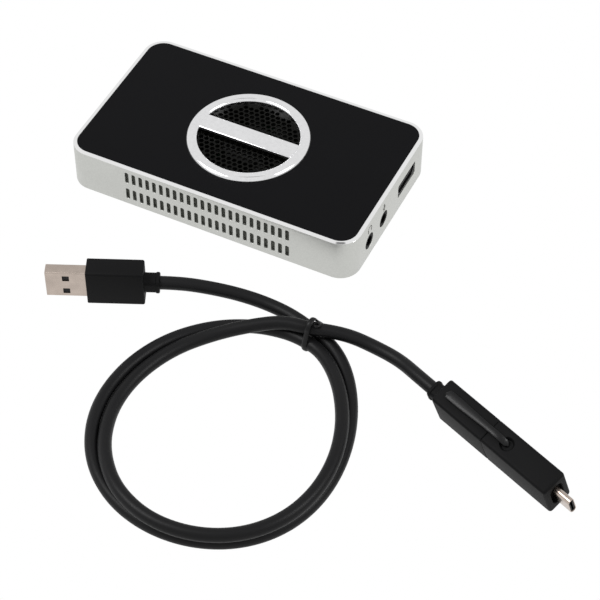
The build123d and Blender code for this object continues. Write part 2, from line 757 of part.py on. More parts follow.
def make_plug(stem, plane, length, out):
    """Metal shell, tongue and contacts of a USB-A plug whose grip ends at length."""
    start = plane.offset(length - plug_shell_in)
    full = plug_shell_in + out
    with BuildPart() as shell:
        block(start, plug_height, plug_width, full, usb_wall)
        block(start.offset(-overrun), plug_height - 2 * usb_wall, plug_width - 2 * usb_wall,
              full + 2 * overrun, mode=Mode.SUBTRACT)
        latch_face = Plane(start.origin + start.z_dir * (full - plug_latch_from_tip), x_dir=start.y_dir,
                           z_dir=start.x_dir)
        with BuildSketch(latch_face):
            with GridLocations(plug_latch_pitch, plug_latch, 2, 1):
                Rectangle(plug_latch, plug_latch)
        extrude(amount=plug_height, both=True, mode=Mode.SUBTRACT)
    keep(shell, stem + "_shell")
    inside = plug_height / 2 - usb_wall - plug_tongue_gap
    seat = inside - plug_tongue_height / 2
    tongue_plane = Plane(start.origin + start.x_dir * seat, x_dir=start.x_dir, z_dir=start.z_dir)
    with BuildPart() as tongue:
        block(tongue_plane, plug_tongue_height, plug_width - 2 * (usb_wall + plug_tongue_gap),
              full - plug_tongue_setback)
    keep(tongue, stem + "_tongue")
    strip_x = inside - plug_tongue_height - contact_height / 2
    strip_plane = Plane(start.origin + start.x_dir * strip_x + start.z_dir * (full - contact_length - contact_width),
                        x_dir=start.x_dir, z_dir=start.z_dir)
    with BuildPart() as contacts:
        with BuildSketch(strip_plane):
            with GridLocations(contact_height, contact_pitch, 1, contact_count):
                Rectangle(contact_height, contact_width)
        extrude(amount=contact_length)
    keep(contacts, stem + "_contacts")


# USB-A plug at the near end of the lead
near_plane = plug_plane(usb_plug_cord_face, standing_height(grip_thickness, grip_width, grip_corner, 0),
                        usb_plug_heading, 0)
make_grip("usb_plug_grip", near_plane, grip_thickness, grip_width, grip_length, grip_corner)
make_plug("usb_plug", near_plane, grip_length, plug_shell_out)

# Plug at the other end, leaning on its lower edge, with the adapter pushed on
far_plane = plug_plane(far_plug_cord_face, standing_height(far_thickness, far_width, far_corner, far_roll),
                       far_plug_heading, far_roll)
make_grip("far_plug_grip", far_plane, far_thickness, far_width, far_length, far_corner)
far_shell_out = usb_socket_depth - 2 * port_gap
make_plug("far_plug", far_plane, far_length, far_shell_out)

adapter_plane = far_plane.offset(far_length)
socket_mouth = Plane(adapter_plane.origin, x_dir=-adapter_plane.y_dir, z_dir=-adapter_plane.z_dir)
usb_c_end = adapter_plane.offset(adapter_length)
strap_rise = far_width / 2 + strap_gap
strap_length = far_length - strap_from_cord + strap_past_seam
pocket_at = strap_past_seam - strap_width / 2
with BuildPart() as adapter_body:
    block(adapter_plane, far_thickness, far_width, adapter_length, far_corner)
    fillet(adapter_body.faces().sort_by(Axis(adapter_plane.origin, adapter_plane.z_dir))[-1].edges(), far_corner / 2)
    block(adapter_plane.offset(-overrun), usb_socket_height + 2 * adapter_pocket_gap,
          usb_socket_width + 2 * adapter_pocket_gap, usb_socket_depth + overrun, mode=Mode.SUBTRACT)
    with BuildSketch(usb_c_end.offset(-usb_c_recess)):
        SlotOverall(usb_c_recess_width, usb_c_recess_height, rotation=90)
    extrude(amount=usb_c_recess + overrun, mode=Mode.SUBTRACT)
    with BuildSketch(usb_c_end.offset(-usb_c_recess - usb_c_in)):
        SlotOverall(usb_c_width + 2 * adapter_pocket_gap, usb_c_height + 2 * adapter_pocket_gap, rotation=90)
    extrude(amount=usb_c_in + overrun, mode=Mode.SUBTRACT)
    pocket_plane = Plane(adapter_plane.origin + adapter_plane.z_dir * pocket_at
                         + adapter_plane.y_dir * (far_width / 2 + overrun),
                         x_dir=adapter_plane.z_dir, z_dir=-adapter_plane.y_dir)
    rod(pocket_plane, strap_width / 2 + strap_pocket_gap, overrun + strap_sunk, Mode.SUBTRACT)
keep(adapter_body, "adapter_body")
usb_socket("adapter_socket_shell", "adapter_socket_tongue", socket_mouth, tongue_shift)

with BuildPart() as usb_c_shell:
    with BuildSketch(usb_c_end.offset(-usb_c_recess - usb_c_in)):
        SlotOverall(usb_c_width, usb_c_height, rotation=90)
        SlotOverall(usb_c_width - 2 * usb_c_wall, usb_c_height - 2 * usb_c_wall, rotation=90, mode=Mode.SUBTRACT)
    extrude(amount=usb_c_in + usb_c_recess + usb_c_out)
keep(usb_c_shell, "usb_c_shell")

with BuildPart() as usb_c_insert:
    with BuildSketch(usb_c_end.offset(-usb_c_recess - usb_c_in)):
        SlotOverall(usb_c_width - 2 * usb_c_wall - thread_gap, usb_c_height - 2 * usb_c_wall - thread_gap,
                    rotation=90)
    extrude(amount=usb_c_in + usb_c_recess + usb_c_out - usb_c_wall)
    with BuildSketch(usb_c_end):
        Rectangle(usb_c_slot_height, usb_c_slot_width)
    extrude(amount=usb_c_out + overrun, mode=Mode.SUBTRACT)
keep(usb_c_insert, "usb_c_insert")

# Tether strap: lies along the plug's upper side and dives into the adapter's pocket
with BuildPart() as tether_strap:
    strap_start = Plane(far_plane.origin + far_plane.z_dir * (strap_from_cord + strap_length / 2)
                        + far_plane.y_dir * strap_rise, x_dir=far_plane.z_dir, z_dir=far_plane.y_dir)
    with BuildSketch(strap_start):
        SlotOverall(strap_length, strap_width)
    extrude(amount=strap_height)
    upper = tether_strap.faces().sort_by(Axis(strap_start.origin, strap_start.z_dir))[-1]
    fillet(upper.edges(), strap_height / 3)
    pocket_floor = Plane(pocket_plane.origin + pocket_plane.z_dir * (overrun + strap_sunk),
                         x_dir=pocket_plane.x_dir, z_dir=-pocket_plane.z_dir)
    rod(pocket_floor, strap_width / 2, strap_sunk + strap_gap + strap_height / 2)
keep(tether_strap, "tether_strap")


# The cord's route
def egg_point(turn):
    """Point of the flat egg that the first turn follows; its narrow end is at the tie."""
    angle = 2 * pi * turn
    across = loop_half_width * sin(angle) * (1 - loop_taper_share * cos(angle))
    along = loop_half_length * cos(angle)
    tilt = radians(loop_tilt)
    return Vector(loop_x + across * cos(tilt) + along * sin(tilt), loop_y - across * sin(tilt) + along * cos(tilt))


def beside(turn, reach, lay):
    """Step of the length reach from the egg's line: inward at a lay of 0 degrees, up at 90."""
    step = 1 / 360
    ahead = (egg_point(turn + step) - egg_point(turn - step)).normalized()
    inward = Vector(ahead.Y, -ahead.X)
    return inward * reach * cos(radians(lay)) + Vector(0, 0, 1) * reach * sin(radians(lay))


def first_turn(turn):
    """Middle of the cord in the first turn, which draws in by one pitch before it ends."""
    late = min(1, max(0, (turn - 1 + draw_in_share) / draw_in_share))
    late = late * late * (3 - 2 * late)
    rise = (tie_z - floor_z) * max(0, cos(2 * pi * turn)) ** tie_rise_power
    return egg_point(turn) + Vector(0, 0, floor_z + rise) + beside(turn, lay_pitch * late, lay_start * late)


def over_first(turn, lay):
    """Point one pitch from the first turn, a full turn later, on the side that lay gives."""
    return first_turn(turn - 1) + beside(turn, lay_pitch, lay)


def loop_point(turn):
    """Middle of the cord, turn full turns after the tie; the second turn rolls up over the first."""
    if turn <= 1:
        return first_turn(turn)
    return over_first(turn, lay_start + (lay_peak - lay_start) * sin(pi * (turn - 1) / lay_end_share))


def loop_direction(turn):
    """Direction of the cord at that turn; level where the first turn starts in the tie."""
    step = 1 / 360
    way = loop_point(turn + step) - loop_point(turn - step)
    return Vector(way.X, way.Y, way.Z if turn else 0).normalized()


def biarc(first, first_way, last, last_way):
    """Join two points by two arcs that leave and arrive along the given directions."""
    span = last - first
    ways = first_way + last_way
    a = 2 * (first_way.dot(last_way) - 1)
    b = -2 * span.dot(ways)
    c = span.dot(span)
    reach = (-b - sqrt(b * b - 4 * a * c)) / (2 * a)
    near = first + first_way * reach
    far = last - last_way * reach
    middle = (near + far) / 2
    TangentArc(first, middle, tangent=first_way)
    TangentArc(middle, last, tangent=(far - near).normalized())


def bend_radii(points):
    """Radius of the arc at each inner point: as large as its two runs allow."""
    radii = []
    for before, here, after in zip(points, points[1:], points[2:]):
        shorter = min((here - before).length, (after - here).length)
        half_turn = radians((here - before).get_angle(after - here)) / 2
        radii.append(0.45 * shorter / tan(half_turn))
    return radii


def cord_tube(label, points):
    """Sweep the cord along straight runs joined by tangent arcs, and print its measures."""
    radii = bend_radii(points)
    with BuildPart() as tube:
        with BuildLine() as line:
            FilletPolyline(*points, radius=radii)
        with BuildSketch(Plane(points[0], z_dir=(points[1] - points[0]).normalized())):
            Circle(cord_radius)
        sweep(path=line.wire())
    length = line.wire().length
    print(label, "length %.1f" % length, "radii", [round(radius, 1) for radius in radii],
          "runs", [round((b - a).length, 1) for a, b in zip(points, points[1:])],
          "volume share %.4f" % (tube.part.volume / (pi * cord_radius ** 2 * length)))
    keep(tube, label)
    return length


relief_end = near_plane.offset(-relief_length)
far_relief_end = far_plane.offset(-relief_length)
coil_start = loop_point(0)
coil_end = loop_point(loop_turns)
run_in = 10.5
run_out = 12.0
tie_over = over_first(2, lay_in_tie)
start_points = [relief_end.origin, relief_end.origin - relief_end.z_dir * cord_start_length,
                *[Vector(*point) for point in start_middle], coil_start - loop_direction(0) * run_in, coil_start]
end_points = [coil_end, coil_end + loop_direction(loop_turns) * run_out,
              *[over_first(turn, lay) for turn, lay in end_lays], tie_over,
              *[Vector(*point) for point in end_middle],
              far_relief_end.origin - far_relief_end.z_dir * cord_start_length, far_relief_end.origin]
start_length = cord_tube("cord_start", start_points)
end_length = cord_tube("cord_end", end_points)

with BuildPart() as cord_coil:
    with BuildLine() as coil_line:
        steps = round(loop_turns * loop_nodes_per_turn)
        for step in range(steps):
            here = step / loop_nodes_per_turn
            there = (step + 1) / loop_nodes_per_turn
            biarc(loop_point(here), loop_direction(here), loop_point(there), loop_direction(there))
    with BuildSketch(Plane(coil_start, z_dir=loop_direction(0))):
        Circle(cord_radius)
    sweep(path=coil_line.wire())
keep(cord_coil, "cord_coil")
coil_length = coil_line.wire().length


def least_gap(wire, length):
    """Least distance between two stretches of the cord, measured on points 1 mm apart."""
    count = int(length)
    spots = [wire.position_at(i / count) for i in range(count + 1)]
    spots = [(spot.X, spot.Y, spot.Z) for spot in spots]
    apart = int(8 * cord_diameter)
    nearest = min(dist(spots[i], spots[j]) for i in range(count + 1) for j in range(i + apart, count + 1))
    lowest = min(spot[2] for spot in spots)
    return nearest - cord_diameter, lowest - cord_radius


gap, lowest = least_gap(coil_line.wire(), coil_length)
print("cord_coil length %.1f" % coil_length, "least gap %.2f" % gap, "lowest %.3f" % lowest,
      "volume share %.4f" % (cord_coil.part.volume / (pi * cord_radius ** 2 * coil_length)))
print("cord length %.1f" % (start_length + coil_length + end_length))

# Tie: a flat band round the three strands, with a small eyelet at the top of its far side
tie_way = Vector(loop_direction(0).X, loop_direction(0).Y).normalized()
tie_side = Vector(-tie_way.Y, tie_way.X)
tie_corner = loop_point(0)
tie_plane = Plane(tie_corner - tie_way * (tie_width / 2), x_dir=tie_side, z_dir=tie_way)


def in_tie(point):
    """The same point in the tie's own plane, seen along the cord."""
    step = point - tie_corner
    return (step.dot(tie_side), step.Z)


strands = [(0, 0), in_tie(loop_point(1)), in_tie(tie_over)]
flank = tie_over - tie_corner
flank_up = Vector(0, 0, 1) * flank.Z + tie_side * flank.dot(tie_side)
flank_out = tie_way.cross(flank_up).normalized() * -1
flank_mid = tie_corner + flank_up / 2
eyelet_plane = Plane(flank_mid + flank_out * (cord_radius + tie_gap) + tie_way * (tie_width / 2),
                     x_dir=tie_way, z_dir=flank_out)
with BuildPart() as cord_tie:
    with BuildSketch(tie_plane):
        Polygon(*strands, align=None)
        offset(amount=cord_radius + tie_gap + tie_thickness, kind=Kind.ARC)
    extrude(amount=tie_width)
    with BuildSketch(tie_plane):
        Polygon(*strands, align=None)
        offset(amount=cord_radius + tie_gap, kind=Kind.ARC)
    extrude(amount=tie_width, mode=Mode.SUBTRACT)
    with BuildSketch(eyelet_plane):
        with Locations((eyelet_radius - eyelet_wire / 2, 0)):
            Circle(eyelet_radius)
            Circle(eyelet_radius - eyelet_wire, mode=Mode.SUBTRACT)
    extrude(amount=tie_thickness)
keep(cord_tie, "cord_tie")

os.makedirs("parts", exist_ok=True)
for piece in made:
    export_step(piece, "parts/" + piece.label + ".step")
print(len(made), "pieces written")
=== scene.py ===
"""Looks for a video capture box with a round grille, and the tied USB lead in front of it."""

from __future__ import annotations

import json
import logging
import math
from dataclasses import dataclass
from enum import Enum
from typing import Sequence

import bmesh
import bpy
from mathutils import Matrix, Vector

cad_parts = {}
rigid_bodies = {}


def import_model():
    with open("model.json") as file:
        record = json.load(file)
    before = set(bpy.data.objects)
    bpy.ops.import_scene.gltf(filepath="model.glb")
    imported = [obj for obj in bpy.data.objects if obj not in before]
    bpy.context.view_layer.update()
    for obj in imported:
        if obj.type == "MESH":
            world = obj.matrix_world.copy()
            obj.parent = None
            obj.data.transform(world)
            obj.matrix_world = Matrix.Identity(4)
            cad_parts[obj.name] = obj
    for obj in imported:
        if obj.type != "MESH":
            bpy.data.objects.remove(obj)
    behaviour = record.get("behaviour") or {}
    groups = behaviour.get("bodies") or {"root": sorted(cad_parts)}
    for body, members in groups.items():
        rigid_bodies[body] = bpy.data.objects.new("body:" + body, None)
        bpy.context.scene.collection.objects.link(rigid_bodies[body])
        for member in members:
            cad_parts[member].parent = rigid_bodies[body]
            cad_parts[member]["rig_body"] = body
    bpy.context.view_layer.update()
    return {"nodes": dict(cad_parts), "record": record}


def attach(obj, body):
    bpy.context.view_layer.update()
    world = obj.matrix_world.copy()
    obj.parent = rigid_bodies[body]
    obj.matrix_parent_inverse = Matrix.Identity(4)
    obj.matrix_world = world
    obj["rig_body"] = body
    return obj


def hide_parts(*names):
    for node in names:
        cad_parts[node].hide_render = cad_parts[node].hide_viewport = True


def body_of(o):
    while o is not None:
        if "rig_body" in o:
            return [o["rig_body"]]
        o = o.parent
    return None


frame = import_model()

LOG = logging.getLogger("capture_box")
MM = 0.001
Colour = tuple[float, float, float]
Pair = tuple[float, float]
Point = tuple[float, float, float]
Piece = bpy.types.Object
Socket = bpy.types.NodeSocket
Tree = bpy.types.NodeTree
X, Y, Z = Vector((1, 0, 0)), Vector((0, 1, 0)), Vector((0, 0, 1))
CORE = 0.02    # radius at which a turned form closes on its axis, in millimetres


def linear(red: float, green: float, blue: float) -> Colour:
    """Turn a colour as seen on screen, 0 to 255 a channel, into the shader's linear values.

    Args:
        red: Red as seen.
        green: Green as seen.
        blue: Blue as seen.

    Returns:
        The same colour in linear light, each channel from 0 to 1.
    """
    shares = (red / 255, green / 255, blue / 255)
    low = [share / 12.92 if share <= 0.04045 else ((share + 0.055) / 1.055) ** 2.4 for share in shares]
    return (low[0], low[1], low[2])


class Sheet:
    """One node material, with short calls for the nodes that the finishes share."""

    noise_low: float = 0.3
    noise_high: float = 0.7

    def __init__(self, name: str) -> None:
        """Start an empty material with a Principled shader.

        Args:
            name: The material's name.
        """
        self.material = bpy.data.materials.new(name)
        self.material.use_nodes = True
        self.tree = self.material.node_tree
        self.shader = self.tree.nodes["Principled BSDF"]
        self.place = self.tree.nodes.new("ShaderNodeTexCoord").outputs["Object"]

    def value(self, socket: str, amount: float | Sequence[float]) -> None:
        """Set one constant on the shader's own socket."""
        if not isinstance(amount, (int, float)):
            amount = (*amount, 1.0)
        self.shader.inputs[socket].default_value = amount

    def noise(self, scale: float, detail: float, stretch: Point) -> Socket:
        """Add a noise that is fixed to the object.

        Args:
            scale: How many bumps to a metre.
            detail: How many finer layers it has.
            stretch: Scale along each axis.

        Returns:
            The noise's value, about 0.5 in the middle.
        """
        mapping = self.tree.nodes.new("ShaderNodeMapping")
        mapping.inputs["Scale"].default_value = stretch
        noise = self.tree.nodes.new("ShaderNodeTexNoise")
        noise.inputs["Scale"].default_value = scale
        noise.inputs["Detail"].default_value = detail
        self.tree.links.new(self.place, mapping.inputs["Vector"])
        self.tree.links.new(mapping.outputs["Vector"], noise.inputs["Vector"])
        return noise.outputs["Fac"]

    def spread(self, fac: Socket, low: float, high: float) -> Socket:
        """Map the range that a noise fills on to a range of values.

        Args:
            fac: The noise.
            low: The value at its dark end.
            high: The value at its bright end.

        Returns:
            The mapped value.
        """
        node = self.tree.nodes.new("ShaderNodeMapRange")
        node.inputs["From Min"].default_value = self.noise_low
        node.inputs["From Max"].default_value = self.noise_high
        node.inputs["To Min"].default_value = low
        node.inputs["To Max"].default_value = high
        self.tree.links.new(fac, node.inputs["Value"])
        return node.outputs["Result"]

    def blend(self, fac: Socket, dark: Colour, pale: Colour) -> None:
        """Vary the base colour between two colours by a noise.

        Args:
            fac: The noise.
            dark: The colour at its dark end.
            pale: The colour at its bright end.
        """
        ramp = self.tree.nodes.new("ShaderNodeValToRGB")
        for end, place, colour in ((0, self.noise_low, dark), (1, self.noise_high, pale)):
            ramp.color_ramp.elements[end].position = place
            ramp.color_ramp.elements[end].color = (*colour, 1)
        self.tree.links.new(fac, ramp.inputs["Fac"])
        self.tree.links.new(ramp.outputs["Color"], self.shader.inputs["Base Color"])

    def rough(self, fac: Socket, middle: float, change: float) -> None:
        """Vary the roughness about a middle value by a noise.

        Args:
            fac: The noise.
            middle: The roughness in the middle.
            change: How far it goes up and down.
        """
        spread = self.spread(fac, middle - change, middle + change)
        self.tree.links.new(spread, self.shader.inputs["Roughness"])

    def bump(self, fac: Socket, depth: float) -> None:
        """Raise the surface by a noise.

        Args:
            fac: The height, 0 to 1.
            depth: The height of 1, in metres.
        """
        node = self.tree.nodes.new("ShaderNodeBump")
        node.inputs["Distance"].default_value = depth
        self.tree.links.new(fac, node.inputs["Height"])
        self.tree.links.new(node.outputs["Normal"], self.shader.inputs["Normal"])


@dataclass(frozen=True)
class Finish:
    """A surface with a fine grain: its colour, its sheen, and how far both vary."""

    name: str
    slot: str
    colour: Colour
    roughness: float
    metallic: float = 0.0
    specular: float = 0.5
    coat: float = 0.0
    coat_roughness: float = 0.1
    colour_change: float = 0.08
    roughness_change: float = 0.05
    grain: float = 4000.0
    grain_depth: float = 0.00001
    grain_detail: float = 2.0
    cloud: float = 60.0
    cloud_detail: float = 3.0
    stretch: Point = (1, 1, 1)

    def build(self) -> bpy.types.Material:
        """Make the finish's material, once for the scene.

        Returns:
            The material.
        """
        known = bpy.data.materials.get(self.name)
        if known:
            return known
        sheet = Sheet(self.name)
        sheet.value("Metallic", self.metallic)
        sheet.value("Specular IOR Level", self.specular)
        sheet.value("Coat Weight", self.coat)
        sheet.value("Coat Roughness", self.coat_roughness)
        cloud = sheet.noise(self.cloud, self.cloud_detail, self.stretch)
        dark = tuple(channel * (1 - self.colour_change) for channel in self.colour)
        pale = tuple(min(1.0, channel * (1 + self.colour_change)) for channel in self.colour)
        sheet.blend(cloud, dark, pale)
        grain = sheet.noise(self.grain, self.grain_detail, self.stretch)
        sheet.rough(grain, self.roughness, self.roughness_change)
        sheet.bump(grain, self.grain_depth)
        return sheet.material


class Look(Enum):
    """The finishes of the box and the lead. The first one that names a slot dresses that slot's solids."""

    SATIN_SILVER = Finish("satin silver", "silver", linear(199, 200, 196), 0.42, 1.0, grain=9000,
                          grain_depth=0.000006, cloud=2600, colour_change=0.06)
    POLISHED_RIM = Finish("polished rim", "silver", linear(252, 252, 252), 0.07, 1.0, grain=9000,
                          grain_depth=0.0000005, colour_change=0.02, roughness_change=0.02)
    PLATE = Finish("dark plate", "plate", linear(5, 5, 7), 0.42, specular=0.085, grain=6000,
                   grain_depth=0.000004)
    SCREEN = Finish("slot screen", "plate", linear(86, 88, 82), 0.6, specular=0.2, grain=2400,
                    grain_depth=0.00003, cloud=2000, colour_change=0.3)
    CHROME = Finish("polished chrome", "emblem", linear(243, 243, 244), 0.09, 1.0, roughness_change=0.03,
                    grain_depth=0.000001, cloud=900, colour_change=0.04)
    MESH = Finish("black mesh", "mesh", linear(9, 9, 7), 0.4, specular=0.09, grain=5000, grain_depth=0.000004)
    STEEL = Finish("screw steel", "steel", linear(176, 174, 168), 0.35, 1.0)
    NICKEL = Finish("warm nickel", "nickel", linear(186, 173, 163), 0.26, 1.0, grain=3000,
                    grain_depth=0.000004, cloud=300)
    INSERT = Finish("socket insert", "socket_insert", linear(16, 16, 17), 0.45, specular=0.2)
    JACK = Finish("jack plastic", "jack", linear(2, 2, 2), 0.4, specular=0.03)
    BOARD = Finish("solder mask", "board", linear(14, 44, 28), 0.3, coat=0.4, cloud=900, colour_change=0.2)
    CHIP = Finish("chip resin", "chip", linear(38, 38, 40), 0.55, grain_depth=0.00002)
    PAD = Finish("thermal pad", "pad", linear(150, 160, 172), 0.7)
    SINK = Finish("sink aluminium", "sink", linear(196, 198, 200), 0.35, 1.0, stretch=(1, 12, 12))
    INDUCTOR = Finish("pressed powder", "inductor", linear(88, 88, 90), 0.6, 0.3)
    CAPACITOR = Finish("drawn can", "capacitor", linear(205, 207, 208), 0.22, 1.0)
    CERAMIC = Finish("fired ceramic", "ceramic", linear(196, 168, 130), 0.4)
    FAN = Finish("fan plastic", "fan", linear(20, 20, 21), 0.42, specular=0.2)
    BEARING = Finish("sintered bronze", "bearing", linear(190, 150, 90), 0.4, 1.0)
    STATOR = Finish("laminated iron", "stator", linear(110, 110, 112), 0.5, 0.8, stretch=(1, 1, 20))
    WINDING = Finish("copper winding", "winding", linear(196, 110, 66), 0.35, 0.9, stretch=(1, 1, 30))
    MAGNET = Finish("bonded magnet", "magnet", linear(52, 52, 55), 0.6)
    GRIP = Finish("moulded grip", "grip", linear(9, 9, 10), 0.6, specular=0.11, grain=5200,
                  grain_depth=0.000012)
    STRAP = Finish("strap rubber", "grip", linear(12, 12, 13), 0.36, specular=0.26, grain=5200)
    TIE = Finish("tie rubber", "grip", linear(12, 12, 13), 0.42, specular=0.2, grain=5200)
    CABLE = Finish("cable jacket", "cable", linear(20, 20, 21), 0.42, specular=0.14, grain=2600,
                   grain_depth=0.000006)
    CONTACT = Finish("gold contact", "contacts", linear(226, 184, 100), 0.25, 1.0)
    # The nickel again, darkened to paint the shade of the box's openings onto the socket shells that sit in
    # them.
    SHADED_SOCKET = Finish("socket shell painted shade", "nickel", linear(92, 92, 94), 0.34, 1.0, grain=3000,
                    grain_depth=0.000004, cloud=300)
    PRINT = Finish("printed mark", "jack", linear(92, 92, 88), 0.6, specular=0.2)

    def on(self, piece: Piece) -> None:
        """Dress a mesh or curve in this finish."""
        piece.data.materials.clear()
        piece.data.materials.append(self.value.build())


def look_for(slot: str) -> Look:
    """Find the finish of a material slot.

    Args:
        slot: The slot's name in the record.

    Returns:
        The first finish that names it.
    """
    return next(look for look in Look if look.value.slot == slot)


def rounded_rectangle(width: float, height: float, radius: float, steps: int = 6) -> list[Pair]:
    """Outline of a rectangle with round corners, about its middle.

    Args:
        width: Its size along the first axis.
        height: Its size along the second.
        radius: The corners' radius.
        steps: How many runs each corner has.

    Returns:
        The outline, counter-clockwise.
    """
    points = []
    for corner, (side, up) in enumerate(((1, 1), (-1, 1), (-1, -1), (1, -1))):
        for step in range(steps + 1):
            angle = (corner + step / steps) * math.pi / 2
            points.append((side * (width / 2 - radius) + radius * math.cos(angle),
                           up * (height / 2 - radius) + radius * math.sin(angle)))
    return points


def circle(radius: float, steps: int, height: float | None = None) -> list[Pair]:
    """Outline of a circle or of an upright oval, about its middle.

    Args:
        radius: Its radius along the first axis.
        steps: How many points it has.
        height: Its radius along the second axis, where that differs.

    Returns:
        The outline, counter-clockwise.
    """
    angles = [math.tau * step / steps for step in range(steps)]
    return [(radius * math.cos(angle), (height or radius) * math.sin(angle)) for angle in angles]


def soft_ends(low: float, high: float, low_round: float, high_round: float, steps: int = 4) -> list[Pair]:
    """Levels of a body whose two ends are rounded off.

    Args:
        low: Where it starts.
        high: Where it ends.
        low_round: Radius of the start's edge.
        high_round: Radius of the end's edge.
        steps: How many runs each edge has.

    Returns:
        Pairs of a level and how far the outline is drawn in there.
    """
    angles = [step / steps * math.pi / 2 for step in range(steps + 1)]
    start = [(low + low_round * (1 - math.cos(a)), low_round * (1 - math.sin(a))) for a in angles]
    end = [(high - high_round * (1 - math.cos(a)), high_round * (1 - math.sin(a))) for a in reversed(angles)]
    return start + end


def lifted(outline: Sequence[Pair], level: float, place: Matrix = Matrix()) -> list[Vector]:
    """Set an outline at a level.

    Args:
        outline: The outline.
        level: Its level along Z.
        place: The place whose axes the numbers are in.

    Returns:
        The outline's points in space.
    """
    return [place @ Vector((x, y, level)) for x, y in outline]


def axes(origin: Point, across: Vector, ahead: Vector) -> Matrix:
    """Place of a piece whose own X points across and whose own Z points ahead.

    Args:
        origin: Its origin, in millimetres.
        across: Unit vector of its X.
        ahead: Unit vector of its Z.

    Returns:
        The matrix that moves it there.
    """
    place = Matrix((across, ahead.cross(across), ahead)).transposed().to_4x4()
    place.translation = Vector(origin)
    return place


def node_box(name: str) -> tuple[Vector, Vector]:
    """Find the room that a CAD node takes.

    Args:
        name: The node's name.

    Returns:
        Its lowest and its highest corner, in millimetres.
    """
    node = frame["nodes"][name]
    spots = [node.matrix_world @ vertex.co / MM for vertex in node.data.vertices]
    corners = [Vector([end(spot[axis] for spot in spots) for axis in range(3)]) for end in (min, max)]
    return corners[0], corners[1]


def bake(piece: Piece) -> None:
    """Apply a piece's modifiers to its mesh."""
    shaped = piece.evaluated_get(bpy.context.evaluated_depsgraph_get())
    mesh = bpy.data.meshes.new_from_object(shaped)
    piece.modifiers.clear()
    piece.data = mesh


def smooth(piece: Piece, sharp: float) -> None:
    """Shade a piece smooth, but for the edges that turn by more than an angle.

    Args:
        piece: The mesh.
        sharp: The angle, in degrees.
    """
    form = bmesh.new()
    form.from_mesh(piece.data)
    for face in form.faces:
        face.smooth = True
    for edge in form.edges:
        edge.smooth = len(edge.link_faces) == 2 and edge.calc_face_angle(0.0) < math.radians(sharp)
    form.to_mesh(piece.data)
    form.free()


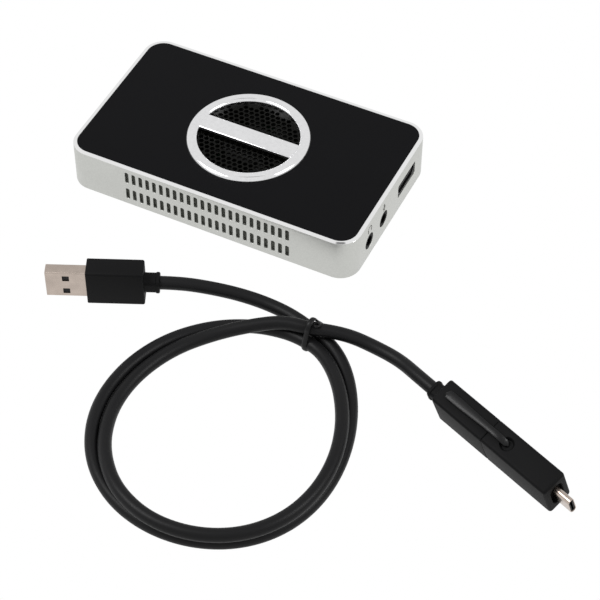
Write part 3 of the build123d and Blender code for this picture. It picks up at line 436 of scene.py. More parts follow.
class Form:
    """A mesh in the making, in millimetres."""

    weld: float = 0.0005

    def __init__(self) -> None:
        """Start with nothing."""
        self.mesh = bmesh.new()

    def loft(self, rings: Sequence[Sequence[Point]], around: bool = False) -> Form:
        """Skin rings that have as many points each.

        Args:
            rings: The rings, in order.
            around: Whether the last ring joins the first; if not, both are closed with a face.

        Returns:
            The same form.
        """
        rows = [[self.mesh.verts.new(point) for point in ring] for ring in rings]
        pairs = list(zip(rows, rows[1:]))
        if around:
            pairs.append((rows[-1], rows[0]))
        else:
            self.mesh.faces.new(rows[0][::-1])
            self.mesh.faces.new(rows[-1])
        for low, high in pairs:
            for index in range(len(low)):
                after = (index + 1) % len(low)
                self.mesh.faces.new((low[index], low[after], high[after], high[index]))
        return self

    def prism(self, outline: Sequence[Pair], low: float, high: float, place: Matrix = Matrix()) -> Form:
        """Extrude an outline along Z.

        Args:
            outline: The outline.
            low: Where it starts.
            high: Where it ends.
            place: The place whose axes the numbers are in.

        Returns:
            The same form.
        """
        return self.loft([lifted(outline, level, place) for level in (low, high)])

    def body(self, width: float, height: float, radius: float, levels: Sequence[Pair],
             steps: int = 6) -> Form:
        """Add a rounded bar.

        Args:
            width: Its size along X.
            height: Its size along Y.
            radius: Radius of its long edges.
            levels: Pairs of a level along Z and how far the outline is drawn in there.
            steps: How many runs each corner has.

        Returns:
            The same form.
        """
        rings = []
        for level, inset in levels:
            corner = max(radius - inset, radius / 10)
            outline = rounded_rectangle(width - 2 * inset, height - 2 * inset, corner, steps)
            rings.append(lifted(outline, level))
        return self.loft(rings)

    def tube(self, outer: Sequence[Pair], inner: Sequence[Pair], low: float, high: float, lip: float) -> Form:
        """Add a tube with a rolled mouth.

        Args:
            outer: Its outer outline.
            inner: Its inner outline, with as many points.
            low: Where it starts.
            high: Where its mouth is.
            lip: How far back the mouth begins to close.

        Returns:
            The same form.
        """
        middle = [((a + c) / 2, (b + d) / 2) for (a, b), (c, d) in zip(outer, inner)]
        loops = [(outer, low), (outer, high - lip), (middle, high), (inner, high - lip), (inner, low)]
        return self.loft([lifted(outline, level) for outline, level in loops], around=True)

    def lathe(self, profile: Sequence[Pair], steps: int = 64, place: Matrix = Matrix()) -> Form:
        """Turn a closed profile about Z.

        Args:
            profile: Pairs of a radius and a level.
            steps: How many runs the circle has.
            place: The place whose Z it turns about.

        Returns:
            The same form.
        """
        rings = []
        for x, y in circle(1.0, steps):
            rings.append([place @ Vector((x * radius, y * radius, level)) for radius, level in profile])
        return self.loft(rings, around=True)

    def stroke(self, points: Sequence[Pair], width: float, low: float, high: float, place: Matrix) -> Form:
        """Add a raised line.

        Args:
            points: The points that it runs along.
            width: Its width.
            low: Where it starts along Z.
            high: Where it ends along Z.
            place: The place whose axes the numbers are in.

        Returns:
            The same form.
        """
        left, right = [], []
        for index, point in enumerate(points):
            before = Vector(points[max(index - 1, 0)])
            after = Vector(points[min(index + 1, len(points) - 1)])
            way = (after - before).normalized()
            side = Vector((-way.y, way.x)) * width / 2
            left.append(tuple(Vector(point) + side))
            right.append(tuple(Vector(point) - side))
        return self.prism(right + left[::-1], low, high, place)

    def drawn(self, name: str, place: Matrix = Matrix()) -> Piece:
        """Turn the form into a plain object of the scene.

        Args:
            name: The object's name.
            place: Where it goes, in millimetres.

        Returns:
            The object.
        """
        bmesh.ops.remove_doubles(self.mesh, verts=self.mesh.verts, dist=self.weld)
        bmesh.ops.dissolve_degenerate(self.mesh, edges=self.mesh.edges, dist=self.weld)
        bmesh.ops.recalc_face_normals(self.mesh, faces=self.mesh.faces)
        bmesh.ops.transform(self.mesh, matrix=Matrix.Scale(MM, 4) @ place, verts=self.mesh.verts)
        mesh = bpy.data.meshes.new(name)
        self.mesh.to_mesh(mesh)
        self.mesh.free()
        drawn = bpy.data.objects.new(name, mesh)
        bpy.context.scene.collection.objects.link(drawn)
        return drawn


def combine(piece: Piece, operation: str, *others: Piece) -> None:
    """Join other closed meshes to a piece or cut them out of it, and take them away.

    Args:
        piece: The mesh that stays.
        operation: UNION or DIFFERENCE.
        others: The other meshes, each of parts that don't touch.
    """
    for other in others:
        step = piece.modifiers.new("combine", "BOOLEAN")
        step.operation = operation
        step.solver = "EXACT"
        step.object = other
    bake(piece)
    for other in others:
        bpy.data.objects.remove(other)


def settle(piece: Piece, look: Look, body: str, *nodes: str, sharp: float = 35.0) -> Piece:
    """Finish a piece: shade it, dress it, tie it to its body, and hide the CAD nodes that it stands for.

    Args:
        piece: The mesh.
        look: Its finish.
        body: The body that it rides on.
        nodes: The CAD nodes that it replaces.
        sharp: Angle above which an edge stays sharp, in degrees.

    Returns:
        The same piece.
    """
    smooth(piece, sharp)
    look.on(piece)
    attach(piece, body)
    if nodes:
        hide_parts(*nodes)
    return piece


class CadPieces:
    """The solids that keep their own shape and get a better surface."""

    def dress(self) -> int:
        """Give each CAD node the finish of its material slot.

        Returns:
            How many nodes were dressed.
        """
        slots = {entry["node"]: entry["material_slot"] for entry in frame["record"]["subparts"]}
        for node, piece in frame["nodes"].items():
            # Socket shells inside the box's openings get the darkened nickel: painted shade, not a duller
            # metal.
            inner = node.endswith(("video_shell", "socket_shell"))
            (Look.SHADED_SOCKET if inner else look_for(slots[node])).on(piece)
        return len(frame["nodes"])


@dataclass(frozen=True)
class Jack:
    """One audio jack: its CAD node, its place in the right end and the mark above it."""

    node: str
    y: float
    mark: str
    z: float = 7.95
    barrel: float = 3.0

    def place(self, up: float = 0.0) -> Matrix:
        """Place in the box's right end, X to the right as seen from outside, moved up by a distance."""
        return axes((node_box("frame")[1].x, self.y, self.z + up), Y, X)


# The marks follow the photograph; the CAD names of the two jacks stand the other way round.
JACKS = (Jack("microphone_jack", -18.8, "headphones"), Jack("headphone_jack", -6.4, "microphone"))


@dataclass
class Case:
    """The silver band of the box, its slots and openings, and the dark screens behind the slots."""

    wall: float = 2.4
    rim: float = 1.5
    seat: float = 1.5
    corner: float = 8.0
    corner_steps: int = 14
    slot_width: float = 1.5
    slot_height: float = 5.1
    slot_round: float = 0.6
    slot_count: int = 24
    slot_pitch: float = 2.86
    slot_row_pitch: float = 8.1
    slot_mid: float = 9.55
    broken_edge: float = 0.14
    skin: float = 1.0
    screen_gap: float = 0.1
    screen_thickness: float = 0.4
    screen_margin: float = 0.6
    screen_corner: float = 1.5
    screen_round: float = 0.1
    hollow_margin: float = 0.8
    hollow_corner: float = 1.7
    post_inset: float = 5.6
    post_radius: float = 3.0
    post_bore: float = 1.3
    port_gap: float = 0.3
    port_round: float = 0.8
    spare: float = 1.0
    polished: float = 0.35
    crown: tuple[Pair, ...] = ((0.0, 0.42), (0.02, 0.35), (0.07, 0.3), (0.5, 0.2), (0.95, 0.105),
                               (1.38, 0.02), (1.45, 0.03), (1.5, 0.12))

    def __post_init__(self) -> None:
        """Take the box's outer sizes from the CAD frame."""
        self.low, self.high = node_box("frame")
        self.length = self.high.x - self.low.x
        self.width = self.high.y - self.low.y
        self.height = self.high.z

    def band(self) -> Piece:
        """Loft the band's cross-section along the box's outline.

        Returns:
            The band.
        """
        top = [(inset, self.height - drop) for inset, drop in self.crown]
        ledges = [(self.rim, self.height - self.seat), (self.wall, self.height - self.seat),
                  (self.wall, self.seat), (self.rim, self.seat)]
        rings = []
        for inset, level in top + ledges + list(self.crown[::-1]):
            length, width = self.length - 2 * inset, self.width - 2 * inset
            outline = rounded_rectangle(length, width, self.corner - inset, self.corner_steps)
            rings.append(lifted(outline, level))
        return Form().loft(rings, around=True).drawn("case_band")

    def posts(self) -> Piece:
        """Turn the four bored posts for the cover's screws.

        Returns:
            The posts.
        """
        form = Form()
        profile = [(self.post_bore, self.seat), (self.post_radius, self.seat),
                   (self.post_radius, self.height - self.seat), (self.post_bore, self.height - self.seat)]
        for x in (-1, 1):
            for y in (-1, 1):
                middle = Vector((x * self.length / 2, y * self.width / 2, 0))
                form.lathe(profile, 32, Matrix.Translation(middle - Vector((x, y, 0)) * self.post_inset))
        return form.drawn("case_posts")

    def side_place(self, side: int, x: float, z: float) -> Matrix:
        """Place in one of the long faces, which are -1 and 1, with Z out of it."""
        return axes((x, side * self.width / 2, z), X, Y * side)

    def slot_places(self) -> list[Matrix]:
        """Middles of the slots, in the two long faces."""
        middle = (self.slot_count - 1) / 2
        columns = [(column - middle) * self.slot_pitch for column in range(self.slot_count)]
        rows = [self.slot_mid + row * self.slot_row_pitch for row in (-0.5, 0.5)]
        return [self.side_place(side, x, z) for side in (-1, 1) for z in rows for x in columns]

    def cutter(self, name: str, width: float, height: float, corner: float, places: Sequence[Matrix],
               steps: int = 6) -> Piece:
        """Make cutters that open the wall from its face inward, with the edge broken.

        Args:
            name: The object's name.
            width: Width of the opening.
            height: Its height.
            corner: Radius of its corners.
            places: Where the openings are.
            steps: How many runs each corner has.

        Returns:
            All cutters as one object.
        """
        form = Form()
        flare = self.broken_edge
        levels = ((-self.wall - self.spare, 0.0), (-flare, 0.0), (0.0, flare), (self.spare, flare))
        for place in places:
            form.loft([lifted(rounded_rectangle(width + 2 * grown, height + 2 * grown, corner + grown, steps),
                              level, place) for level, grown in levels])
        return form.drawn(name)

    def port_cutters(self) -> list[Piece]:
        """Make the cutters of both end faces.

        Returns:
            The cutters.
        """
        cutters = []
        for node, end in (("right_video_shell", 1), ("left_video_shell", -1), ("usb_socket_shell", -1)):
            low, high = node_box(node)
            place = axes((end * self.length / 2, (low.y + high.y) / 2, (low.z + high.z) / 2), Y, X * end)
            width, height = high.y - low.y + 2 * self.port_gap, high.z - low.z + 2 * self.port_gap
            cutters.append(self.cutter("cut_" + node, width, height, self.port_round, [place]))
        for jack in JACKS:
            reach = jack.barrel + self.port_gap
            cutters.append(self.cutter("cut_" + jack.node, 2 * reach, 2 * reach, reach, [jack.place()], 12))
        return cutters

    def screen_size(self, margin: float) -> tuple[float, float]:
        """Length and height of the field of slots, with a margin all round."""
        length = (self.slot_count - 1) * self.slot_pitch + self.slot_width + 2 * margin
        return length, self.slot_row_pitch + self.slot_height + 2 * margin

    def screens(self) -> list[Piece]:
        """Make the dark screens, one behind each long side's slots.

        Returns:
            The screens.
        """
        screens = []
        length, height = self.screen_size(self.screen_margin)
        face = -self.skin - self.screen_gap
        levels = soft_ends(face - self.screen_thickness, face, self.screen_round, self.screen_round, 2)
        for side, name in ((-1, "front_screen"), (1, "back_screen")):
            place = self.side_place(side, 0, self.slot_mid)
            screen = Form().body(length, height, self.screen_corner, levels).drawn(name, place)
            screens.append(settle(screen, Look.SCREEN, "case"))
        return screens

    def build(self) -> list[Piece]:
        """Make the band with all its openings, and the screens.

        Returns:
            The pieces.
        """
        band = self.band()
        combine(band, "UNION", self.posts())
        length, height = self.screen_size(self.hollow_margin)
        outline = rounded_rectangle(length, height, self.hollow_corner)
        hollow = Form()
        for side in (-1, 1):
            place = self.side_place(side, 0, self.slot_mid)
            hollow.prism(outline, -self.wall - self.spare / 2, -self.skin, place)
        slots = self.cutter("cut_slots", self.slot_width, self.slot_height, self.slot_round,
                            self.slot_places(), 4)
        combine(band, "DIFFERENCE", hollow.drawn("cut_hollow"), slots, *self.port_cutters())
        settle(band, Look.SATIN_SILVER, "case", "frame", sharp=28.0)
        band.data.materials.append(Look.POLISHED_RIM.value.build())
        for face in band.data.polygons:
            near_edge = min(face.center.z / MM, self.height - face.center.z / MM)
            if near_edge < self.polished and abs(face.normal.z) > 0.5:
                face.material_index = 1
        return [band, *self.screens()]


@dataclass
class AudioJacks:
    """The two jacks: a body, a collar that fills the frame's hole, and the bore with its spring leaves."""

    setback: float = 0.12
    collar: float = 3.22
    collar_length: float = 3.0
    collar_edge: float = 0.35
    collar_break: float = 0.1
    shoulder: float = 2.35
    shoulder_step: float = 0.2
    shoulder_slope: float = 0.15
    bore: float = 1.8
    bore_mouth: float = 0.3
    depth: float = 12.0
    wall: float = 2.7
    body_width: float = 6.2
    body_height: float = 5.1
    body_length: float = 11.0
    leaf_width: float = 0.9
    leaf_thickness: float = 0.5
    leaf_length: float = 3.2
    leaf_depth: float = 7.5

    def build(self) -> list[Piece]:
        """Make both jacks.

        Returns:
            The jacks.
        """
        jacks = []
        face, edge, broken = -self.setback, self.collar_edge, self.collar_break
        end, back = face - self.collar_length, self.collar - self.shoulder_step
        profile = [(CORE, end), (CORE, face), (self.collar - edge, face),
                   (self.collar - broken, face - broken), (self.collar, face - edge),
                   (self.collar, -self.shoulder), (back, -self.shoulder - self.shoulder_slope), (back, end)]
        mouth = self.bore + self.bore_mouth
        bore = [(CORE, 1), (mouth, 1), (mouth, face), (self.bore, face - self.bore_mouth),
                (self.bore, -self.depth), (CORE, -self.depth)]
        for jack in JACKS:
            place = jack.place()
            piece = Form().lathe(profile, 48, place).drawn(jack.node + "_moulding")
            levels = soft_ends(-self.wall - self.body_length, -self.wall, 0.25, 0.1, 3)
            body = Form().body(self.body_width, self.body_height, 0.4, levels).drawn("jack_body", place)
            combine(piece, "UNION", body)
            combine(piece, "DIFFERENCE", Form().lathe(bore, 48, place).drawn("cut_bore"))
            leaf = Form()
            for side in (-1, 1):
                spot = place @ Matrix.Translation((side * (self.bore + 0.1), 0, -self.leaf_depth))
                outline = rounded_rectangle(self.leaf_thickness, self.leaf_width, 0.2, 3)
                leaf.prism(outline, -self.leaf_length / 2, self.leaf_length / 2, spot)
            combine(piece, "UNION", leaf.drawn("leaves"))
            jacks.append(settle(piece, Look.JACK, "case", jack.node, sharp=32.0))
        return jacks


@dataclass
class JackMarks:
    """The two small printed marks over the jacks."""

    rise: float = 6.1
    line: float = 0.42
    ink: float = 0.02
    capsule: float = 0.5
    capsule_low: float = 0.1
    capsule_high: float = 0.95
    cradle: float = 0.95
    stem_top: float = -0.85
    foot_level: float = -1.6
    foot_reach: float = 0.65
    bow: float = 1.45
    pad_width: float = 0.7
    pad_height: float = 1.5
    pad_corner: float = 0.3
    pad_reach: float = 1.25
    pad_drop: float = 0.65

    def arc(self, radius: float, low: float, up: float = 0.0, steps: int = 14) -> list[Pair]:
        """Points of a half circle.

        Args:
            radius: Its radius.
            low: The angle where it starts, in degrees.
            up: How far its middle lies above the mark's.
            steps: How many runs it has.

        Returns:
            The points, counter-clockwise.
        """
        angles = [math.radians(low + 180 * step / steps) for step in range(steps + 1)]
        return [(radius * math.cos(angle), up + radius * math.sin(angle)) for angle in angles]

    def microphone(self, form: Form, place: Matrix) -> None:
        """Draw a capsule in a cradle, on a foot.

        Args:
            form: The form to draw in.
            place: The mark's place.
        """
        top = self.arc(self.capsule, 0, self.capsule_high)
        bottom = self.arc(self.capsule, 180, self.capsule_low)
        form.prism(top + bottom, -self.ink, self.ink, place)
        cradle = self.arc(self.cradle, 180, self.capsule_low)
        stem = [(0, self.stem_top), (0, self.foot_level)]
        foot = [(-self.foot_reach, self.foot_level), (self.foot_reach, self.foot_level)]
        for points in (cradle, stem, foot):
            form.stroke(points, self.line, -self.ink, self.ink, place)

    def headphones(self, form: Form, place: Matrix) -> None:
        """Draw a bow with two pads.

        Args:
            form: The form to draw in.
            place: The mark's place.
        """
        form.stroke(self.arc(self.bow, 0), self.line, -self.ink, self.ink, place)
        outline = rounded_rectangle(self.pad_width, self.pad_height, self.pad_corner, 4)
        for side in (-1, 1):
            pad = [(x + side * self.pad_reach, y - self.pad_drop) for x, y in outline]
            form.prism(pad, -self.ink, self.ink, place)

    def build(self) -> list[Piece]:
        """Print both marks.

        Returns:
            The marks.
        """
        marks = []
        for jack in JACKS:
            form = Form()
            draw = self.microphone if jack.mark == "microphone" else self.headphones
            draw(form, jack.place(self.rise))
            marks.append(settle(form.drawn(jack.mark + "_mark"), Look.PRINT, "case"))
        return marks


@dataclass
class Emblem:
    """The polished ring round the grille, and the plain bar across it."""

    bore: float = 19.0
    spigot: float = 19.8
    outer: float = 23.3
    seat: float = 17.0
    face: float = 18.5
    skirt: float = 0.08
    skirt_draw: float = 0.05
    bar_width: float = 7.4
    bar_reach: float = 19.4
    bar_low: float = 18.1
    bar_high: float = 19.6
    bar_edge: float = 0.35
    bar_edge_angle: float = math.radians(38)
    crest: tuple[Pair, ...] = ((0.0, 0.3), (0.1, 0.6), (0.28, 0.92), (0.55, 1.17), (0.95, 1.33),
                               (1.5, 1.4), (2.3, 1.39), (2.9, 1.33), (3.35, 1.2), (3.7, 1.0), (3.98, 0.72),
                               (4.17, 0.42), (4.28, 0.15))

    def ring(self) -> Piece:
        """Turn the ring: a broad crowned band with a steep inner and a rounder outer side."""
        crest = [(self.bore + run, self.face + rise) for run, rise in self.crest]
        foot = [(self.outer, self.face + self.skirt), (self.outer - self.skirt_draw, self.face),
                (self.spigot, self.face), (self.spigot, self.seat), (self.bore, self.seat)]
        return Form().lathe(crest + foot, 144).drawn("ring")

    def bar(self) -> Piece:
        """Cut the bar from a disc and round its long edges.

        Returns:
            The bar.
        """
        half = self.bar_width / 2
        steps = 10
        heights = [-half + self.bar_width * step / steps for step in range(steps + 1)]
        right = [(math.sqrt(self.bar_reach ** 2 - y * y), y) for y in heights]
        left = [(-x, -y) for x, y in right]
        bar = Form().prism(right + left, self.bar_low, self.bar_high).drawn("bar")
        bevel = bar.modifiers.new("round edges", "BEVEL")
        bevel.width = self.bar_edge * MM
        bevel.segments = 3
        bevel.limit_method = "ANGLE"
        bevel.angle_limit = self.bar_edge_angle
        bake(bar)
        return bar

    def build(self) -> Piece:
        """Join the bar to the ring.

        Returns:
            The emblem.
        """
        ring = self.ring()
        combine(ring, "UNION", self.bar())
        return settle(ring, Look.CHROME, "case", "emblem_ring", sharp=42.0)


@dataclass
class CoverScrews:
    """The four countersunk screws of the bottom cover, with cross recesses."""

    head: float = 2.3
    head_height: float = 1.2
    head_crown: tuple[Pair, ...] = ((0.5, 0.02), (0.0, 0.12))
    head_dish: float = 0.05
    shank: float = 1.25
    shank_point: float = 0.5
    length: float = 7.0
    inset: float = 5.6
    cross_reach: float = 1.25
    cross_width: float = 0.5
    cross_depth: float = 0.75
    cross_flare: float = 1.1
    cross_taper: float = 0.55
    spare: float = 0.5

    def build(self) -> Piece:
        """Turn the screws and press the crosses into their heads.

        Returns:
            The screws.
        """
        top = self.head_height + self.length
        crown = [(self.head - inset, level) for inset, level in self.head_crown]
        profile = [(CORE, self.head_dish), *crown, (self.shank, self.head_height),
                   (self.shank, top - self.shank_point), (self.shank - self.shank_point, top), (CORE, top)]
        arm, half = self.cross_reach, self.cross_width / 2
        quarter = [(arm, -half), (arm, half), (half, half)]
        halves = quarter + [(-y, x) for x, y in quarter]
        cross = halves + [(-x, -y) for x, y in halves]
        corner = node_box("frame")[1] - Vector((self.inset, self.inset, 0))
        screws = Form()
        crosses = Form()
        for x, y in ((-1, -1), (-1, 1), (1, -1), (1, 1)):
            place = Matrix.Translation((corner.x * x, corner.y * y, 0))
            screws.lathe(profile, 36, place)
            crosses.loft([lifted([(a * share, b * share) for a, b in cross], level, place) for level, share
                          in ((-self.spare, self.cross_flare), (self.cross_depth, self.cross_taper))])
        piece = screws.drawn("cover_screw_set")
        combine(piece, "DIFFERENCE", crosses.drawn("cut_crosses"))
        return settle(piece, Look.STEEL, "case", "cover_screws", sharp=30.0)


@dataclass(frozen=True)
class Pose:
    """Where a plug lies, in millimetres and degrees: the middle of its cord face, its heading, its lean."""

    x: float
    y: float
    z: float
    heading: float
    lean: float

    def ahead(self) -> Vector:
        """Direction in which the tip points."""
        heading = math.radians(self.heading)
        return Vector((math.cos(heading), math.sin(heading), 0))

    def place(self, ahead: float = 0.0) -> Matrix:
        """Place with X across the plug's thin way and Z towards its tip, moved ahead by a distance."""
        way = self.ahead()
        lean = math.radians(self.lean)
        across = Vector((-way.y, way.x, 0)) * math.cos(lean) + Z * math.sin(lean)
        return axes(tuple(Vector((self.x, self.y, self.z)) + way * ahead), across, way)

    def settled(self, piece: Piece, look: Look, name: str) -> Piece:
        """Move a piece from the plug's own place to where the plug lies, and finish it.

        Args:
            piece: The mesh.
            look: Its finish.
            name: Name of the CAD node that it replaces, whose body it rides on.

        Returns:
            The same piece.
        """
        piece.data.transform(Matrix.Scale(MM, 4) @ self.place() @ Matrix.Scale(1 / MM, 4))
        return settle(piece, look, body_of(frame["nodes"][name])[0], name, sharp=32.0)


@dataclass
class Plug:
    """One USB-A plug of the lead: a moulded grip with its relief, and the folded metal shell."""

    stem: str
    pose: Pose
    thickness: float
    width: float
    length: float
    corner: float
    out: float
    soft: float = 0.7
    relief: float = 6.6
    relief_corner: float = 2.0
    relief_length: float = 5.4
    relief_waist: float = 0.28
    relief_edge: float = 0.35
    relief_break: float = 0.12
    relief_sunk: float = 0.3
    neck: float = 0.5
    neck_flare: float = 0.15
    flange: float = 1.1
    pocket_gap: float = 0.1
    pocket_corner: float = 0.45
    shell_thickness: float = 4.5
    shell_width: float = 12.0
    shell_in: float = 4.0
    shell_wall: float = 0.3
    shell_corner: float = 0.5
    shell_bend: float = 0.3
    shell_lip: float = 0.12
    latch: float = 2.5
    latch_corner: float = 0.22
    latch_pitch: float = 6.3
    latch_from_tip: float = 7.3
    latch_reach: float = 4.0
    seam: float = 0.16
    seam_reach: float = 1.0
    seam_corner: float = 0.05
    seam_round: float = 0.4
    spare: float = 1.0

    def grip(self) -> Piece:
        """Mould the grip, its relief and the pocket for the shell.

        Returns:
            The grip.
        """
        levels = soft_ends(0, self.length, self.soft, self.seam_round)
        grip = Form().body(self.thickness, self.width, self.corner, levels).drawn(self.stem + "_moulding")
        start, waist, edge = -self.relief_length, self.relief_waist, self.relief_edge
        levels = [(start, edge), (start + self.relief_break, self.relief_break), (start + edge, 0.0),
                  (start + self.flange, 0.0), (start + self.flange + edge, waist), (-self.neck, waist),
                  (0.0, waist - self.neck_flare), (self.soft + self.relief_sunk, 0.0)]
        relief = Form().body(self.relief, self.relief, self.relief_corner, levels, 8).drawn("relief")
        combine(grip, "UNION", relief)
        gap = self.pocket_gap
        hollow = rounded_rectangle(self.shell_thickness + gap, self.shell_width + gap, self.pocket_corner)
        pocket = Form().prism(hollow, self.length - self.shell_in, self.length + self.spare)
        combine(grip, "DIFFERENCE", pocket.drawn("cut_pocket"))
        return self.pose.settled(grip, Look.GRIP, self.stem + "_grip")

    def shell(self) -> Piece:
        """Fold the shell, with its latch holes and its seam.

        Returns:
            The shell.
        """
        low, high = self.length - self.shell_in, self.length + self.out
        outer = rounded_rectangle(self.shell_thickness, self.shell_width, self.shell_corner)
        walls = 2 * self.shell_wall
        inner = rounded_rectangle(self.shell_thickness - walls, self.shell_width - walls, self.shell_bend)
        shell = Form().tube(outer, inner, low, high, self.shell_lip).drawn(self.stem + "_case")
        hole = rounded_rectangle(self.latch, self.latch, self.latch_corner, 3)
        holes = Form()
        for side in (-1, 1):
            place = axes((0, side * self.latch_pitch / 2, high - self.latch_from_tip), Y, X)
            holes.prism(hole, -self.latch_reach, self.latch_reach, place)
        gap = rounded_rectangle(self.seam_reach, self.seam, self.seam_corner, 2)
        place = Matrix.Translation((-self.shell_thickness / 2, 0, 0))
        seam = Form().prism(gap, low - self.spare, high + self.spare, place)
        combine(shell, "DIFFERENCE", holes.drawn("cut_latches"), seam.drawn("cut_seam"))
        return self.pose.settled(shell, Look.NICKEL, self.stem + "_shell")

    def build(self) -> list[Piece]:
        """Make the grip and the shell.

        Returns:
            The pieces.
        """
        return [self.grip(), self.shell()]


@dataclass
class Adapter:
    """The adapter on the far plug: its body, the USB-C shell in its end, and the tether strap."""

    pose: Pose
    thickness: float = 9.8
    width: float = 16.2
    plug_length: float = 23.3
    length: float = 29.2
    corner: float = 1.2
    end_round: float = 1.0
    seam_round: float = 0.4
    socket_height: float = 5.8
    socket_width: float = 13.2
    socket_corner: float = 0.3
    socket_depth: float = 14.0
    recess_width: float = 11.0
    recess_height: float = 5.2
    recess: float = 2.0
    recess_flare: float = 0.25
    core_gap: float = 0.1
    core_past: float = 0.5
    shell_width: float = 8.3
    shell_height: float = 2.5
    shell_wall: float = 0.3
    shell_lip: float = 0.14
    shell_out: float = 6.6
    shell_in: float = 4.0
    strap_width: float = 3.3
    strap_height: float = 1.4
    strap_gap: float = 0.3
    strap_from_cord: float = 2.9
    strap_past_seam: float = 9.4
    strap_sunk: float = 1.1
    strap_short: float = 0.9
    strap_drop: float = 1.9
    strap_dive: float = 0.2
    strap_narrowing: float = 0.25
    strap_narrows_from: float = 0.25
    strap_narrows_over: float = 0.4
    strap_end_height: float = 0.45
    strap_blunt: float = 0.1
    strap_squareness: int = 3
    strap_rows: int = 28
    strap_points: int = 20
    dimple: float = 2.45
    dimple_lip: float = 0.35
    dimple_break: float = 0.12
    dimple_room: float = 0.25
    spare: float = 1.0

    def slot_outline(self, height: float, width: float, steps: int = 10) -> list[Pair]:
        """Outline of a slot with round ends, height along X and width along Y."""
        return rounded_rectangle(height, width, height / 2 - 0.001, steps)

    def body(self) -> Piece:
        """Mould the body and its openings.

        Returns:
            The body.
        """
        low, high = self.plug_length, self.plug_length + self.length
        levels = soft_ends(low, high, self.seam_round, self.end_round)
        body = Form().body(self.thickness, self.width, self.corner, levels).drawn("adapter_moulding")
        opening = rounded_rectangle(self.socket_height, self.socket_width, self.socket_corner)
        socket = Form().prism(opening, low - self.spare, low + self.socket_depth)
        bottom, flare = high - self.recess, self.recess_flare
        rings = []
        for level, grown in ((bottom, 0), (high - flare, 0), (high, flare), (high + self.spare, flare)):
            outline = self.slot_outline(self.recess_height + 2 * grown, self.recess_width + 2 * grown)
            rings.append(lifted(outline, level))
        recess = Form().loft(rings)
        outline = self.slot_outline(self.shell_height + self.core_gap, self.shell_width + self.core_gap)
        core = Form().prism(outline, bottom - self.shell_in, bottom + self.core_past)
        lip, foot = self.dimple + self.dimple_lip, -self.strap_sunk
        profile = [(lip, self.spare), (lip, self.dimple_break), (self.dimple, -self.dimple_break),
                   (self.strap_width / 2 + self.dimple_room, foot), (CORE, foot), (CORE, self.spare)]
        place = axes((0, self.width / 2, low + self.strap_past_seam - self.strap_width / 2), Z, Y)
        dimple = Form().lathe(profile, 40, place)
        combine(body, "DIFFERENCE", socket.drawn("cut_socket"), recess.drawn("cut_recess"),
                core.drawn("cut_core"), dimple.drawn("cut_dimple"))
        return self.pose.settled(body, Look.GRIP, "adapter_body")

    def usb_c(self) -> Piece:
        """Draw the USB-C shell with its rolled mouth.

        Returns:
            The shell.
        """
        end = self.plug_length + self.length
        outer = self.slot_outline(self.shell_height, self.shell_width)
        walls = 2 * self.shell_wall
        inner = self.slot_outline(self.shell_height - walls, self.shell_width - walls)
        low, high = end - self.recess - self.shell_in, end + self.shell_out
        shell = Form().tube(outer, inner, low, high, self.shell_lip).drawn("usb_c_case")
        return self.pose.settled(shell, Look.NICKEL, "usb_c_shell")

    def strap(self) -> Piece:
        """Mould the strap: a soft ridge that bows over the seam and dives into the adapter's dimple.

        Returns:
            The strap.
        """
        start = self.strap_from_cord
        length = self.plug_length - start + self.strap_past_seam
        base = self.width / 2 + self.strap_gap
        rings = []
        for row in range(self.strap_rows + 1):
            share = row / self.strap_rows
            from_end = min(share, 1 - share) * length / self.strap_width * 2
            ends = max(self.strap_blunt, math.sqrt(max(0.0, 1 - max(0.0, 1 - from_end) ** 2)))
            dive = max(0.0, (share - 1 + self.strap_dive) / self.strap_dive)
            narrowed = max(0.0, min(1.0, (share - self.strap_narrows_from) / self.strap_narrows_over))
            half = self.strap_width / 2 * ends * (1 - self.strap_narrowing * narrowed)
            height = self.strap_height * (self.strap_end_height + (1 - self.strap_end_height) * ends)
            top = base + height - self.strap_drop * dive ** 2
            foot = base - (self.strap_gap + self.strap_sunk) * dive ** 2
            middle, rise = (top + foot) / 2, (top - foot) / 2
            along = start + share * (length - self.strap_short)
            ring = []
            for x, y in circle(1.0, self.strap_points):
                power = self.strap_squareness
                swell = (abs(x) ** power + abs(y) ** power) ** (-1 / power)
                ring.append((half * x * swell, middle + rise * y * swell, along))
            rings.append(ring)
        strap = Form().loft(rings).drawn("strap_ridge")
        return self.pose.settled(strap, Look.STRAP, "tether_strap")

    def build(self) -> list[Piece]:
        """Make the body, the USB-C shell and the strap.

        Returns:
            The pieces.
        """
        return [self.body(), self.usb_c(), self.strap()]


def between(pairs: Sequence[Pair], at: float) -> float:
    """Read a smooth curve that runs through pairs of a place and a value.

    Args:
        pairs: The pairs, in order; the curve is level at both ends.
        at: The place.

    Returns:
        The value there.
    """
    if at <= pairs[0][0]:
        return pairs[0][1]
    if at >= pairs[-1][0]:
        return pairs[-1][1]
    index = max(k for k in range(len(pairs) - 1) if pairs[k][0] <= at)

    def slope(k: int) -> float:
        """Slope of the curve at one of the pairs."""
        if k in (0, len(pairs) - 1):
            return 0.0
        return (pairs[k + 1][1] - pairs[k - 1][1]) / (pairs[k + 1][0] - pairs[k - 1][0])

    (start, low), (end, high) = pairs[index], pairs[index + 1]
    run = end - start
    s = (at - start) / run
    return ((2 * s ** 3 - 3 * s ** 2 + 1) * low + (s ** 3 - 2 * s ** 2 + s) * run * slope(index)
            + (3 * s ** 2 - 2 * s ** 3) * high + (s ** 3 - s ** 2) * run * slope(index + 1))


